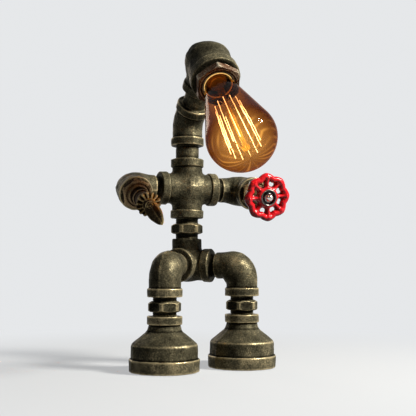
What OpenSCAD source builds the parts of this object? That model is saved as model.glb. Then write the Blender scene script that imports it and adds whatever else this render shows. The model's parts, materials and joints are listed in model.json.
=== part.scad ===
// Desk lamp in the shape of a small robot, screwed together from threaded pipe fittings.
// The lamp stands on two bell-shaped reducing sockets and faces -Y, with +Z up. Its origin is
// on the floor below the middle of the whole lamp.

/* [Pipe thread] */
// Pitch radius of the half-inch male pipe threads
thread_r = 10; // [9.8:0.05:10.2]
// Radial clearance of a male thread in its fitting
thread_gap = 0.05; // [0.02:0.01:0.1]
// Length of a male thread that is screwed into a fitting
thread_in = 13; // [11:0.5:13.5]
// Depth of the threaded bore of a fitting
bore_depth = 14; // [13.8:0.1:15]
// Radius of the free way through fittings and nipples
way_r = 7.8; // [7:0.1:8.2]
// Pitch radius of the one-inch thread of the head
head_thread_r = 15.9; // [15.7:0.05:16.1]

/* [Fittings] */
// Radius of the round body of a fitting
body_r = 14.5; // [14:0.1:15]
// Radius of the reinforcing band round a fitting's mouth
band_r = 15.9; // [15.5:0.1:16.5]
// Width of that band
band_w = 7.5; // [6:0.5:9]
// Edge chamfer of the bands
band_edge = 0.8; // [0.4:0.1:1.2]
// Centre of an elbow to its female mouth
elbow_reach = 28.4; // [28:0.2:32]
// Centre of a street elbow to the mouth that its male end enters
street_reach = 30; // [29:0.5:34]
// Length of male thread left showing outside that mouth
thread_show = 5; // [3:0.5:6]
// Radius of a street elbow's thin half
street_r = 12; // [11.4:0.1:12.6]
// Radius of the bend's centre line in a street elbow
bend_r = 14; // [13.6:0.2:15]
// Radius of the tube in that bend
bend_tube_r = 13.4; // [12.8:0.1:13.5]

/* [Stand] */
// Height of a foot
foot_h = 49; // [46:0.5:54]
// Diameter of the foot's lower band
foot_band_d = 63.5; // [60:0.5:68]
// Height of that band
foot_band_h = 11; // [9:0.5:13]
// Diameter of the foot's bell above the band
foot_bell_d = 60; // [57:0.5:62]
// Height of the bell's shoulder
foot_bell_h = 24; // [22:0.5:27]
// Height at which the cone ends
foot_cone_h = 36.5; // [34:0.5:38]
// Radius of the wide bore of a foot
foot_bore_r = 23; // [22:0.5:25]
// Width of the casting rib on a foot, in degrees
foot_rib_a = 6; // [4:1:9]
// Gap between foot and leg elbow, filled by the hexagon nipple
ankle_gap = 17; // [15:0.5:60]
// Turn of the legs about the upright axis, in degrees
stance_turn = 5; // [-15:1:15]
// Angle between the two legs, set by the hip fitting, in degrees
leg_angle = 90; // [90:1:100]
// Centre of the hip fitting to each of its mouths
hip_reach = 25.5; // [25:0.5:28]
// Gap between hip and torso, filled by the waist nipple
waist_gap = 20; // [18:0.5:60]
// Distance across the flats of the hexagon nipples
nipple_af = 27.5; // [26:0.5:28]

/* [Torso and arms] */
// Centre of the cross to each of its mouths
cross_reach = 28.6; // [28:0.2:32]
// Droop of the left forearm below the horizontal, in degrees
left_arm_drop = 18; // [0:0.5:25]
// Droop of the right forearm, in degrees
right_arm_drop = 10.5; // [0:0.5:25]
// Gap between cross and neck elbow, filled by the neck nipple
neck_gap = 13.3; // [12:0.1:60]
// Turn of the neck and head about the upright axis, in degrees
head_heading = 3; // [-5:0.5:5]
// Radius of the plain nipples where they show
nipple_r = 11.2; // [10.8:0.1:11.6]

/* [Head] */
// Centre of the 45 degree elbow to its mouths
neck_reach = 22.4; // [22.2:0.2:26]
// Turn of the head about its slanted nipple, in degrees
head_twist = -2.5; // [-10:0.5:10]
// Angle between the two branches of the head elbow, in degrees
head_angle = 91; // [88:0.5:95]
// Gap between neck elbow and head elbow
head_gap = 15.2; // [13:0.2:60]
// Centre of the head elbow to its small mouth
head_inlet = 32; // [31:0.5:35]
// Centre of the head elbow to its large mouth
head_outlet = 29.5; // [28:0.5:33]
// Radius of the head elbow's dome
head_r = 21.5; // [21:0.1:22.5]
// Radius of the band round the large mouth
head_band_r = 23; // [22:0.5:25]
// Width of that band
head_band_w = 9; // [7:0.5:11]
// Thread of the head bushing left showing behind its hexagon
head_thread_show = 3.3; // [2:0.1:5]
// Thickness of the head bushing's hexagon
head_hex_h = 7; // [6:0.5:9]
// Distance across the flats of that hexagon
head_hex_af = 38; // [36:0.5:41]
// Radius of the head bushing's bore
head_bore_r = 14.6; // [14.5:0.05:14.8]

/* [Bulb] */
// Greatest diameter of the bulb
bulb_d = 60; // [56:1:64]
// Front of the head bushing to the centre of the bulb's globe
bulb_reach = 75; // [70:1:78]
// Radius of the bulb's glass neck
bulb_neck_r = 12.3; // [11.8:0.1:12.6]
// Thickness of the glass
glass_t = 0.9; // [0.7:0.1:1.2]
// Radius of the screw cap
cap_r = 13; // [12.8:0.05:13.1]
// Number of upright runs of the filament
filament_runs = 12; // [8:2:16]

/* [Hands] */
// Distance across the flats of the hand bushings
hand_hex_af = 26; // [22:0.5:27.5]
// Mouth of the arm to the front of the hand bushing
hand_hex_h = 6; // [5:0.5:8]
// Mouth of the right arm to the middle of the handwheel
wheel_reach = 30; // [28:0.5:34]
// Radius of the handwheel over its lobes
wheel_r = 23; // [21:0.5:26]
// Thickness of the handwheel's rim
wheel_t = 7; // [5:0.5:9]
// Number of lobes and of spokes of the handwheel
wheel_lobes = 8; // [6:1:10]
// Radius of both hands' spindles
spindle_r = 3; // [2.6:0.1:3.4]
// Running clearance round a turning spindle
spindle_gap = 0.05; // [0.02:0.01:0.1]
// Mouth of the left arm to the back of the fluted hub
hub_reach = 38; // [34:0.5:42]
// Radius of the fluted hub
hub_r = 11.4; // [10:0.1:12.5]
// Number of flutes round the hub
hub_flutes = 14; // [10:2:18]
// Length of the lever from its spindle to its tip
lever_len = 23; // [20:0.5:30]
// Lean of the lever towards the torso, in degrees
lever_lean = 38; // [0:1:45]

/* [Wiring] */
// Radius of the sheathed cable inside the pipes
cable_r = 2.6; // [2:0.1:3]
// Radius of the bore that takes the supply cord
inlet_r = 3.3; // [3:0.1:3.6]
// Height of the cord inlet above the floor
inlet_h = 17; // [16:0.5:18]

/* [Hidden] */
$fn = 64;
slack = 0.2;                              // gap left between faces that turn against each other
eps = 0.01;                               // overlap that keeps cuts clean
bore_r = thread_r + thread_gap;
bore_chamfer = 1.1;
rim_z = 0.4;                              // the iron rim stops this far above the floor
street_swell = 4;                         // length over which the bend swells to a full body or thin half
street_neck_r = 10.9;                     // radius of the thread left showing on a street elbow
nipple_neck_r = 11;                       // radius of a hexagon nipple beside its hexagon

// Stations along the upright axis
elbow_foot_z = foot_h + ankle_gap;
hip_z = elbow_foot_z + elbow_reach;
hip_top_z = hip_z + hip_reach;
cross_foot_z = hip_top_z + waist_gap;
cross_z = cross_foot_z + cross_reach;
cross_top_z = cross_z + cross_reach;
neck_foot_z = cross_top_z + neck_gap;
neck_z = neck_foot_z + neck_reach;

// Stations outwards from that axis
leg_axis = hip_reach + street_reach;
arm_axis = cross_reach + street_reach;
left_bearing = stance_turn - leg_angle / 2;
right_bearing = stance_turn + leg_angle / 2;

// Stations along the head's slanted axis and along the lamp's axis
neck_tilt = 45;
head_face = neck_reach + head_gap;
head_axis = head_face + head_inlet;
hex_back = head_outlet + head_thread_show;
hex_front = hex_back + head_hex_h;
globe_z = hex_front + bulb_reach;
bulb_r = bulb_d / 2;

// The lamp's outer limits, which put its origin below its middle
lamp_forward = cos(head_twist) * sin(head_angle) * cos(neck_tilt) + cos(head_angle) * sin(neck_tilt);
lamp_aside = sin(head_twist) * sin(head_angle);
front_reach = (head_axis * sin(neck_tilt) + globe_z * lamp_forward) * cos(head_heading)
    - globe_z * lamp_aside * sin(head_heading) + bulb_r;
back_reach = band_r;
left_reach = arm_axis + band_r;
right_reach = max(arm_axis + wheel_r, leg_axis * sin(right_bearing) + foot_band_d / 2);
middle_x = (right_reach - left_reach) / 2;
middle_y = (back_reach - front_reach) / 2;

module placed() translate([-middle_x, -middle_y, 0]) children();

// A place on the floor at a leg's bearing; +X points away from the upright axis
module at_bearing(bearing) placed() rotate([0, 0, bearing - 90]) children();

module at_foot(bearing) at_bearing(bearing) translate([leg_axis, 0, 0]) children();

module at_leg_elbow(bearing) at_foot(bearing) translate([0, 0, hip_z]) rotate([180, 0, 0]) children();

module at_hip() placed() translate([0, 0, hip_z]) rotate([0, 0, stance_turn]) children();

module at_axis(z) placed() translate([0, 0, z]) children();

// Along the slanted axis of the head, from the middle of the neck elbow
module at_neck() at_axis(neck_z) rotate([0, 0, head_heading]) children();

module at_head() at_neck() rotate([neck_tilt, 0, 0]) children();

// Along the lamp's axis, from the middle of the head elbow
module at_lamp() at_head() translate([0, 0, head_axis]) rotate([0, 0, head_twist]) rotate([head_angle, 0, 0])
    children();

// A hand's place: +Z points out of the arm's mouth, +Y up, side is -1 on the left and 1 on the right
module at_arm(side) at_axis(cross_z) translate([side * arm_axis, 0, 0])
    rotate([90 + (side < 0 ? left_arm_drop : right_arm_drop), 0, 0]) children();

module at_hand(side) at_arm(side) translate([0, 0, elbow_reach]) children();

module iron() color([0.34, 0.32, 0.26]) children();
module worn_brass() color([0.72, 0.58, 0.3]) children();
module brown_brass() color([0.45, 0.27, 0.18]) children();
module bright_brass() color([0.85, 0.7, 0.4]) children();
module steel() color([0.7, 0.7, 0.68]) children();
module rubber() color([0.12, 0.12, 0.12]) children();

module ring(r_out, r_in, h) difference() {
    cylinder(r = r_out, h = h);
    translate([0, 0, -eps]) cylinder(r = r_in, h = h + 2 * eps);
}

// A hexagonal prism with its corners turned away by a cone at each end
module hex_prism(af, h, low_cut, high_cut) intersection() {
    rotate([0, 0, 30]) cylinder(r = af / sqrt(3), h = h, $fn = 6);
    rotate_extrude() polygon([
        [0, 0], [af / sqrt(3) - low_cut * 1.7, 0], [af / sqrt(3) - 0.5, low_cut],
        [af / sqrt(3) - 0.5, h - high_cut], [af / sqrt(3) - high_cut * 1.7, h], [0, h]
    ]);
}

// The outside of a fitting's female end, from its middle to its mouth
module fitting_end(reach, r = body_r) rotate_extrude() polygon([
    [0, 0], [r, 0], [r, reach - band_w - band_edge], [band_r - band_edge, reach - band_w],
    [band_r, reach - band_w + band_edge], [band_r, reach - band_edge], [band_r - band_edge, reach], [0, reach]
]);

// The threaded bore and the way behind it
module fitting_bore(reach) {
    cylinder(r = way_r, h = reach);
    translate([0, 0, reach - bore_depth]) cylinder(r = bore_r, h = bore_depth + eps);
    translate([0, 0, reach - bore_chamfer]) cylinder(r1 = bore_r, r2 = bore_r + bore_chamfer, h = bore_chamfer + eps);
}

// A quarter bend in the XZ plane, from -X to +Z
module quarter_bend(r) translate([-bend_r, 0, bend_r]) rotate([90, 0, 0]) rotate([0, 0, -90])
    rotate_extrude(angle = 90) translate([bend_r, 0]) circle(r);

// Half male and half female elbow: mouth towards +Z, male end towards -X
module street_elbow() difference() {
    shoulder = street_reach - thread_show;
    neck_end = street_reach - slack;
    union() {
        rotate_extrude() polygon([
            [0, bend_r], [bend_tube_r, bend_r], [body_r, bend_r + street_swell],
            [body_r, elbow_reach - band_w - band_edge], [band_r - band_edge, elbow_reach - band_w],
            [band_r, elbow_reach - band_w + band_edge], [band_r, elbow_reach - band_edge],
            [band_r - band_edge, elbow_reach], [0, elbow_reach]
        ]);
        quarter_bend(bend_tube_r);
        rotate([0, -90, 0]) rotate_extrude() polygon([
            [0, bend_r], [bend_tube_r, bend_r], [street_r, bend_r + street_swell], [street_r, shoulder],
            [street_neck_r, shoulder], [street_neck_r, neck_end], [thread_r, neck_end],
            [thread_r, street_reach + thread_in], [0, street_reach + thread_in]
        ]);
    }
    union() {
        rotate_extrude() polygon([
            [0, bend_r - eps], [way_r, bend_r - eps], [way_r, elbow_reach - bore_depth],
            [bore_r, elbow_reach - bore_depth], [bore_r, elbow_reach - bore_chamfer],
            [bore_r + bore_chamfer + eps, elbow_reach + eps], [0, elbow_reach + eps]
        ]);
        quarter_bend(way_r);
        rotate([0, -90, 0]) translate([0, 0, bend_r - eps]) cylinder(r = way_r, h = street_reach + thread_in);
    }
}

// A nipple with a hexagon, standing on the lower fitting's face
module hex_nipple(gap, lower_neck, hex_h) difference() {
    union() {
        translate([0, 0, -thread_in]) cylinder(r = thread_r, h = gap + 2 * thread_in);
        translate([0, 0, slack]) cylinder(r = nipple_neck_r, h = gap - 2 * slack);
        translate([0, 0, lower_neck]) hex_prism(nipple_af, hex_h, 1, 2);
    }
    translate([0, 0, -thread_in - eps]) cylinder(r = way_r, h = gap + 2 * (thread_in + eps));
}

module plain_nipple(gap) difference() {
    union() {
        translate([0, 0, -thread_in]) cylinder(r = thread_r, h = gap + 2 * thread_in);
        translate([0, 0, slack]) cylinder(r = nipple_r, h = gap - 2 * slack);
    }
    translate([0, 0, -thread_in - eps]) cylinder(r = way_r, h = gap + 2 * (thread_in + eps));
}

// Stand

foot_small_r = body_r - 0.3;
foot_in_h = foot_bell_h - 4;              // the wide bore ends below the bell's shoulder

function foot_outline(more) = [
    [0, rim_z], [foot_band_d / 2 - 0.8, rim_z], [foot_band_d / 2, rim_z + 0.8],
    [foot_band_d / 2, foot_band_h - 0.8], [foot_band_d / 2 - 0.8, foot_band_h],
    [foot_bell_d / 2 + more, foot_band_h + 0.4], [foot_bell_d / 2 + more, foot_bell_h - 1],
    [foot_bell_d / 2 - 1 + more, foot_bell_h], [foot_small_r + 0.6 + more, foot_cone_h],
    [foot_small_r + more, foot_cone_h + 0.8], [foot_small_r + more, foot_h - band_w],
    [band_r - band_edge, foot_h - band_w], [band_r, foot_h - band_w + band_edge],
    [band_r, foot_h - band_edge], [band_r - band_edge, foot_h], [0, foot_h]
];

module foot_shell(rib_turn) difference() {
    rib_h = 1;
    union() {
        rotate_extrude() polygon(foot_outline(0));
        for (half = [0, 180]) rotate([0, 0, rib_turn + half - foot_rib_a / 2])
            rotate_extrude(angle = foot_rib_a) polygon(foot_outline(rib_h));
    }
    translate([0, 0, -eps]) cylinder(r = foot_bore_r, h = foot_in_h + eps);
    translate([0, 0, foot_in_h - eps])
        cylinder(r1 = foot_bore_r, r2 = way_r, h = foot_h - bore_depth - 2 - foot_in_h + 2 * eps);
    fitting_bore(foot_h);
}

plate_z = 1.2;
plate_h = 2;
plate_gap = 0.05;

module foot_plate_disc() translate([0, 0, plate_z]) cylinder(r = foot_bore_r - plate_gap, h = plate_h);

module foot_pad_disc() cylinder(r = foot_bore_r - 1, h = plate_z);

left_rib_turn = -41;
right_rib_turn = 58;
inlet_bearing = 180 - right_bearing;      // the inlet points straight back from the right foot
earth_at = [-13, 0];
spot_r = 8.4;                             // spot face that the gland's flange sits on
inlet_face = foot_bell_d / 2 - 1.2;
gland_flange = 3.2;
gland_thread_r = 5;
gland_top_r = 5.8;
gland_top = 4.5;
seal_r = 4.6;
seal_depth = 6.5;

// Along the cord inlet in the right foot, outwards from the foot's axis
module at_inlet() at_foot(right_bearing) translate([0, 0, inlet_h])
    rotate([0, 0, inlet_bearing]) rotate([90, 0, 90]) children();

module left_foot() iron() at_foot(left_bearing) foot_shell(left_rib_turn);

module right_foot() iron() difference() {
    at_foot(right_bearing) foot_shell(right_rib_turn);
    at_inlet() translate([0, 0, foot_bore_r / 2])
        cylinder(r = gland_thread_r + thread_gap, h = foot_bell_d / 2);
    at_inlet() translate([0, 0, inlet_face]) cylinder(r = spot_r, h = foot_bell_d / 2);
}

module left_foot_plate() steel() at_foot(left_bearing) foot_plate_disc();

module right_foot_plate() steel() at_foot(right_bearing) difference() {
    foot_plate_disc();
    translate([earth_at.x, earth_at.y, plate_z - eps]) cylinder(r = 2, h = plate_h + 2 * eps);
}

module left_foot_pad() rubber() at_foot(left_bearing) foot_pad_disc();
module right_foot_pad() rubber() at_foot(right_bearing) foot_pad_disc();

ankle_lower_neck = 3.8;
ankle_hex_h = 9.5;

module left_ankle_nipple() iron() at_foot(left_bearing) translate([0, 0, foot_h])
    rotate([0, 0, -20]) hex_nipple(ankle_gap, ankle_lower_neck, ankle_hex_h);

module right_ankle_nipple() iron() at_foot(right_bearing) translate([0, 0, foot_h])
    rotate([0, 0, 5]) hex_nipple(ankle_gap, ankle_lower_neck, ankle_hex_h);

module left_leg_elbow() iron() at_leg_elbow(left_bearing) street_elbow();
module right_leg_elbow() iron() at_leg_elbow(right_bearing) street_elbow();

// Three-way hip: one plain collar up, two banded mouths level
module hip_elbow() iron() at_hip() difference() {
    collar_r = body_r - 0.3;
    union() {
        sphere(r = body_r + 0.5);
        rotate_extrude() polygon([
            [0, 0], [collar_r, 0], [collar_r, hip_reach - 1], [collar_r - 1, hip_reach], [0, hip_reach]
        ]);
        for (side = [-1, 1]) rotate([0, 0, side * leg_angle / 2]) rotate([90, 0, 0]) fitting_end(hip_reach);
    }
    sphere(r = way_r * sqrt(2) + 0.2);
    fitting_bore(hip_reach);
    for (side = [-1, 1]) rotate([0, 0, side * leg_angle / 2]) rotate([90, 0, 0]) fitting_bore(hip_reach);
}

waist_lower_neck = 4.8;
waist_hex_h = 11.5;

module waist_nipple() iron() at_axis(hip_top_z) rotate([0, 0, 19])
    hex_nipple(waist_gap, waist_lower_neck, waist_hex_h);

// Cord inlet, seen only from behind

module inlet_gland() iron() at_inlet() difference() {
    union() {
        translate([0, 0, foot_bore_r - 1]) cylinder(r = gland_thread_r, h = inlet_face - foot_bore_r + 1 + eps);
        translate([0, 0, inlet_face]) cylinder(r = 14 / sqrt(3), h = gland_flange, $fn = 6);
        translate([0, 0, inlet_face]) cylinder(r = gland_top_r, h = gland_flange + gland_top);
    }
    translate([0, 0, foot_bore_r / 2]) cylinder(r = inlet_r, h = foot_bell_d / 2);
    translate([0, 0, inlet_face + gland_flange + gland_top - seal_depth])
        cylinder(r = seal_r, h = seal_depth + eps);
}

module inlet_seal() rubber() at_inlet() translate([0, 0, inlet_face + gland_flange + gland_top - seal_depth])
    ring(seal_r - 0.02, inlet_r, seal_depth);

module inlet_nut() iron() at_inlet() difference() {
    nut_r = 7.4;
    nut_z = inlet_face + gland_flange + 0.3;
    nut_in = gland_top - 0.3;
    nut_wall = 1.8;
    translate([0, 0, nut_z]) rotate_extrude() polygon([
        [0, 0], [nut_r, 0], [nut_r, nut_in], [nut_r - 1.6, nut_in + nut_wall], [0, nut_in + nut_wall]
    ]);
    translate([0, 0, nut_z - eps]) cylinder(r = gland_top_r + thread_gap, h = nut_in + eps);
    translate([0, 0, nut_z]) cylinder(r = inlet_r, h = nut_in + nut_wall + eps);
}

block = [20, 11, 9];
block_z = plate_z + plate_h;
screw_r = 1.4;

module terminal_block() color([0.9, 0.88, 0.8]) at_foot(right_bearing) difference() {
    translate([-block.x / 2, -block.y / 2, block_z]) cube(block);
    for (x = [-5, 5], y = [-2.8, 2.8]) translate([x, y, block_z + 3])
        cylinder(r = screw_r, h = block.z);
}

module terminal_screws() steel() at_foot(right_bearing)
    for (x = [-5, 5], y = [-2.8, 2.8]) translate([x, y, block_z + 3])
        cylinder(r = screw_r - 0.05, h = block.z - 3.6);

module earth_screw() bright_brass() at_foot(right_bearing) translate([earth_at.x, earth_at.y, 0]) {
    translate([0, 0, plate_z]) cylinder(r = 1.95, h = plate_h);
    translate([0, 0, plate_z + plate_h]) cylinder(r = 2.4, h = 2);
}

hip_bend_r = 10;
swivel_top = cross_foot_z + thread_in;    // the waist nipple's upper end, where the torso's cable starts

module stand_cable() rubber() at_bearing(right_bearing) {
    start = block_z + block.z;
    translate([leg_axis, 0, start]) cylinder(r = cable_r, h = hip_z - bend_r - start);
    translate([leg_axis - bend_r, 0, hip_z - bend_r]) rotate([90, 0, 0])
        rotate_extrude(angle = 90) translate([bend_r, 0]) circle(cable_r);
    translate([hip_bend_r, 0, hip_z]) rotate([0, 90, 0])
        cylinder(r = cable_r, h = leg_axis - bend_r - hip_bend_r);
    translate([hip_bend_r, 0, hip_z + hip_bend_r]) rotate([90, 0, 0]) rotate([0, 0, 180])
        rotate_extrude(angle = 90) translate([hip_bend_r, 0]) circle(cable_r);
    translate([0, 0, hip_z + hip_bend_r]) cylinder(r = cable_r, h = swivel_top - hip_z - hip_bend_r);
}

// Torso

module torso_cross() iron() at_axis(cross_z) difference() {
    union() {
        sphere(r = body_r + 0.3);
        for (turn = [0, 90, 180, 270]) rotate([0, turn, 0]) fitting_end(cross_reach);
    }
    for (turn = [0, 90, 180, 270]) rotate([0, turn, 0]) fitting_bore(cross_reach);
}

module neck_nipple() iron() at_axis(cross_top_z) plain_nipple(neck_gap);

module torso_cable() rubber() {
    branch = cross_reach - thread_in - slack;
    top = neck_foot_z + thread_in;
    at_axis(swivel_top + slack) cylinder(r = cable_r, h = top - swivel_top - slack);
    at_axis(cross_z) rotate([0, 90, 0]) cylinder(r = cable_r, h = branch);
}

// Neck and head

module neck_elbow() iron() at_neck() difference() {
    union() {
        sphere(r = body_r + 0.3);
        rotate([180, 0, 0]) fitting_end(neck_reach);
        rotate([neck_tilt, 0, 0]) fitting_end(neck_reach);
    }
    sphere(r = way_r + 0.4);
    rotate([180, 0, 0]) fitting_bore(neck_reach);
    rotate([neck_tilt, 0, 0]) fitting_bore(neck_reach);
}

neck_bend_r = 20;

module neck_cable() rubber() at_neck() {
    run = neck_bend_r * tan(neck_tilt / 2);
    stub = neck_reach - thread_in - slack - run;
    translate([0, 0, -run - stub]) cylinder(r = cable_r, h = stub);
    translate([0, -neck_bend_r, -run]) rotate([0, 0, 90]) rotate([90, 0, 0])
        rotate_extrude(angle = neck_tilt) translate([neck_bend_r, 0]) circle(cable_r);
    rotate([neck_tilt, 0, 0]) translate([0, 0, run]) cylinder(r = cable_r, h = stub);
}

module head_nipple() iron() at_head() translate([0, 0, neck_reach]) plain_nipple(head_gap);

crown_r = 34;                             // radius of the flatter crown of the head's dome
crown_sink = 2.6;                         // and how far that crown lies below the full ball
cup_back = 4;                             // the lamp holder's seat, from the middle of the head elbow
head_way_r = 12;

module head_elbow() iron() difference() {
    union() {
        at_lamp() intersection() {
            sphere(r = head_r);
            rotate([45, 0, 0]) translate([0, 0, crown_r - head_r + crown_sink]) sphere(r = crown_r);
        }
        at_lamp() rotate_extrude() polygon([
            [0, 0], [head_r - 0.5, 0], [head_r - 0.5, head_outlet - head_band_w - 1],
            [head_band_r - 1, head_outlet - head_band_w], [head_band_r, head_outlet - head_band_w + 1],
            [head_band_r, head_outlet - 1], [head_band_r - 1, head_outlet], [0, head_outlet]
        ]);
        at_head() translate([0, 0, head_axis]) rotate([180, 0, 0]) fitting_end(head_inlet);
        at_head() translate([0, 0, head_axis]) rotate([180, 0, 0])
            cylinder(r1 = head_r - 0.8, r2 = body_r, h = head_inlet - band_w - 2);
    }
    at_head() translate([0, 0, head_axis]) rotate([180, 0, 0]) fitting_bore(head_inlet);
    at_lamp() sphere(r = head_way_r);
    at_lamp() cylinder(r = head_way_r, h = cup_back + eps);
    at_lamp() translate([0, 0, cup_back]) cylinder(r = head_thread_r + thread_gap, h = head_outlet);
}

cup_front = 18;                           // the bushing's inner end clamps the holder here
head_hex_turn = 18;                       // the bushing's hexagon as it was tightened

module head_bushing() brown_brass() at_lamp() difference() {
    union() {
        translate([0, 0, cup_front]) cylinder(r = head_thread_r, h = hex_back - cup_front + eps);
        translate([0, 0, hex_back]) rotate([0, 0, head_hex_turn]) hex_prism(head_hex_af, head_hex_h, 0.6, 0.6);
    }
    translate([0, 0, cup_front - eps]) cylinder(r = head_bore_r, h = hex_front);
    translate([0, 0, hex_front - 0.8]) cylinder(r1 = head_bore_r, r2 = head_bore_r + 0.8, h = 0.8 + eps);
}

shell_in_r = cap_r + 0.25;
shell_out_r = shell_in_r + 0.5;
cup_r = head_thread_r - 0.2;
cup_floor = 9;
shell_front = 33;
sleeve_front = 37;
holder_screw_at = 8;

module holder_cup() color([0.92, 0.9, 0.84]) at_lamp() difference() {
    translate([0, 0, cup_back]) cylinder(r = cup_r, h = cup_front - cup_back);
    translate([0, 0, cup_floor]) cylinder(r = shell_out_r + 0.05, h = cup_front);
    for (side = [-1, 1]) translate([side * holder_screw_at, 0, cup_back - eps]) cylinder(r = 1.25, h = 4);
}

module holder_shell() bright_brass() at_lamp() translate([0, 0, cup_floor])
    ring(shell_out_r, shell_in_r, shell_front - cup_floor);

module holder_sleeve() rubber() at_lamp() translate([0, 0, cup_front])
    ring(head_bore_r - 0.15, shell_out_r + 0.05, sleeve_front - cup_front);

module holder_contact() bright_brass() at_lamp() translate([0, 0, cup_floor]) cylinder(r = 4, h = 2.3);

module holder_screws() bright_brass() at_lamp() for (side = [-1, 1]) translate([side * holder_screw_at, 0, 0]) {
    translate([0, 0, cup_back - 2.2]) cylinder(r = 2.2, h = 2.2);
    translate([0, 0, cup_back]) cylinder(r = 1.2, h = 3.8);
}

module head_cable() rubber() {
    core_r = 0.9;
    start = neck_reach - thread_in;
    at_head() translate([0, 0, start]) cylinder(r = cable_r, h = head_axis + 1 - start);
    for (side = [-1, 1]) at_lamp() translate([side * holder_screw_at, 0, -cable_r])
        cylinder(r = core_r, h = cup_back - 2.2 + cable_r);
    at_lamp() translate([-holder_screw_at, 0, -cable_r]) rotate([0, 90, 0])
        cylinder(r = core_r, h = 2 * holder_screw_at);
}

// Bulb

cap_back = 14.5;
cap_front = hex_front - 2;                // the cap ends where the glass neck turns into the cone
glass_back = cap_front - 9;               // the glass neck's closed end inside the cap
tip_z = cup_floor + 2.5;
cone_slope = asin((bulb_r - bulb_neck_r) / (globe_z - cap_front));

module bulb_outside(thin) {
    cone_z = globe_z - (bulb_r - thin) * sin(cone_slope);
    cone_r = (bulb_r - thin) * cos(cone_slope);
    translate([0, 0, globe_z]) sphere(r = bulb_r - thin);
    translate([0, 0, cap_front]) cylinder(r1 = bulb_neck_r - thin, r2 = cone_r, h = cone_z - cap_front);
    translate([0, 0, glass_back]) cylinder(r = bulb_neck_r - thin, h = cap_front - glass_back + eps);
}

module bulb_glass() color([0.8, 0.5, 0.15, 0.45]) at_lamp() difference() {
    bulb_outside(0);
    difference() {
        bulb_outside(glass_t);
        cylinder(r = bulb_r, h = glass_back + glass_t);
    }
}

module bulb_cap() bright_brass() at_lamp() difference() {
    translate([0, 0, cap_back]) cylinder(r = cap_r, h = cap_front - cap_back);
    translate([0, 0, cap_back - eps]) cylinder(r = bulb_neck_r + 0.05, h = cap_front);
}

module bulb_insulator() rubber() at_lamp() difference() {
    union() {
        translate([0, 0, tip_z + 0.5]) cylinder(r1 = 5, r2 = cap_r - 2, h = cap_back - tip_z - 0.5 + eps);
        translate([0, 0, cap_back]) cylinder(r = bulb_neck_r, h = 2);
    }
    translate([0, 0, tip_z]) cylinder(r = 4.05, h = 1.2);
}

module bulb_contact() steel() at_lamp() translate([0, 0, tip_z]) cylinder(r = 4, h = 1.2);

stem_base = glass_back + glass_t;         // on the floor of the glass neck
stem_r = 2.2;
upper_spider = hex_front + 30;
lower_spider = globe_z + 14;
upper_ring_r = 11.5;
lower_ring_r = 13.5;
wire_r = 0.35;

module bulb_stem() color([0.85, 0.9, 0.88, 0.5]) at_lamp() {
    translate([0, 0, stem_base]) cylinder(r1 = bulb_neck_r - 2, r2 = stem_r + 1.2, h = 9);
    translate([0, 0, stem_base + 9]) cylinder(r = stem_r, h = lower_spider - stem_base - 9);
}

// Two spiders of wire on the stem, which the filament hangs between
module bulb_supports() steel() at_lamp() for (run = [0 : filament_runs - 1])
    rotate([0, 0, run * 360 / filament_runs]) {
        translate([stem_r, 0, upper_spider]) rotate([0, 90, 0])
            cylinder(r = wire_r, h = upper_ring_r - wire_r - stem_r);
        translate([stem_r, 0, lower_spider - 1]) rotate([0, 90, 0])
            cylinder(r = wire_r, h = lower_ring_r - wire_r - stem_r);
    }

module bulb_filament() color([1, 0.85, 0.5]) at_lamp() {
    lean = atan((lower_ring_r - upper_ring_r) / (lower_spider - 1 - upper_spider));
    run_len = (lower_spider - 1 - upper_spider) / cos(lean);
    for (run = [0 : filament_runs - 1]) rotate([0, 0, run * 360 / filament_runs])
        translate([upper_ring_r, 0, upper_spider]) rotate([0, lean, 0]) cylinder(r = wire_r, h = run_len);
}

// Left hand: a small lever valve

module hand_bushing() difference() {
    hand_thread = 11;
    union() {
        translate([0, 0, -hand_thread]) cylinder(r = thread_r, h = hand_thread + 1);
        translate([0, 0, 0.8]) hex_prism(hand_hex_af, hand_hex_h - 0.8, 0.5, 1);
    }
    translate([0, 0, -hand_thread - eps]) cylinder(r = hand_bore_r, h = hand_thread + hand_hex_h + 2 * eps);
}

hand_bore_r = 5.05;
stub_r = 5;                               // the male end that sits in a hand bushing
stub_in = 9;                              // and how far in it reaches
valve_r = 9.4;
valve_waist_r = 6.6;
valve_collar_r = 7.6;
valve_front_r = 5.6;
gland_h = 4.5;
hub_h = 7;
hub_gap = 0.3;
valve_front = hub_reach - hub_gap - gland_h;

module left_arm_elbow() iron() at_arm(-1) rotate([0, 0, 180]) street_elbow();

module left_hand_bushing() brown_brass() at_hand(-1) rotate([0, 0, 12]) hand_bushing();

module valve_body() brown_brass() at_hand(-1) difference() {
    rotate_extrude() polygon([
        [0, -stub_in], [stub_r, -stub_in], [stub_r, hand_hex_h], [valve_r - 0.6, hand_hex_h],
        [valve_r, hand_hex_h + 0.8], [valve_r, hand_hex_h + 3.2], [valve_r - 0.8, hand_hex_h + 4],
        [valve_waist_r + 0.6, hand_hex_h + 5], [valve_waist_r, hand_hex_h + 8], [valve_collar_r, valve_front - 5],
        [valve_collar_r, valve_front - 3], [valve_front_r, valve_front - 2], [valve_front_r, valve_front],
        [0, valve_front]
    ]);
    translate([0, 0, hand_hex_h]) cylinder(r = spindle_r + spindle_gap, h = valve_front);
}

module valve_gland_nut() worn_brass() at_hand(-1) translate([0, 0, valve_front]) difference() {
    hex_prism(13, gland_h, 0.3, 0.8);
    translate([0, 0, -eps]) cylinder(r = spindle_r + spindle_gap, h = gland_h + 2 * eps);
}

module valve_spindle() steel() at_hand(-1) translate([0, 0, hand_hex_h + 0.3])
    cylinder(r = spindle_r, h = hub_reach + 2 - hand_hex_h - 0.3);

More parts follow.
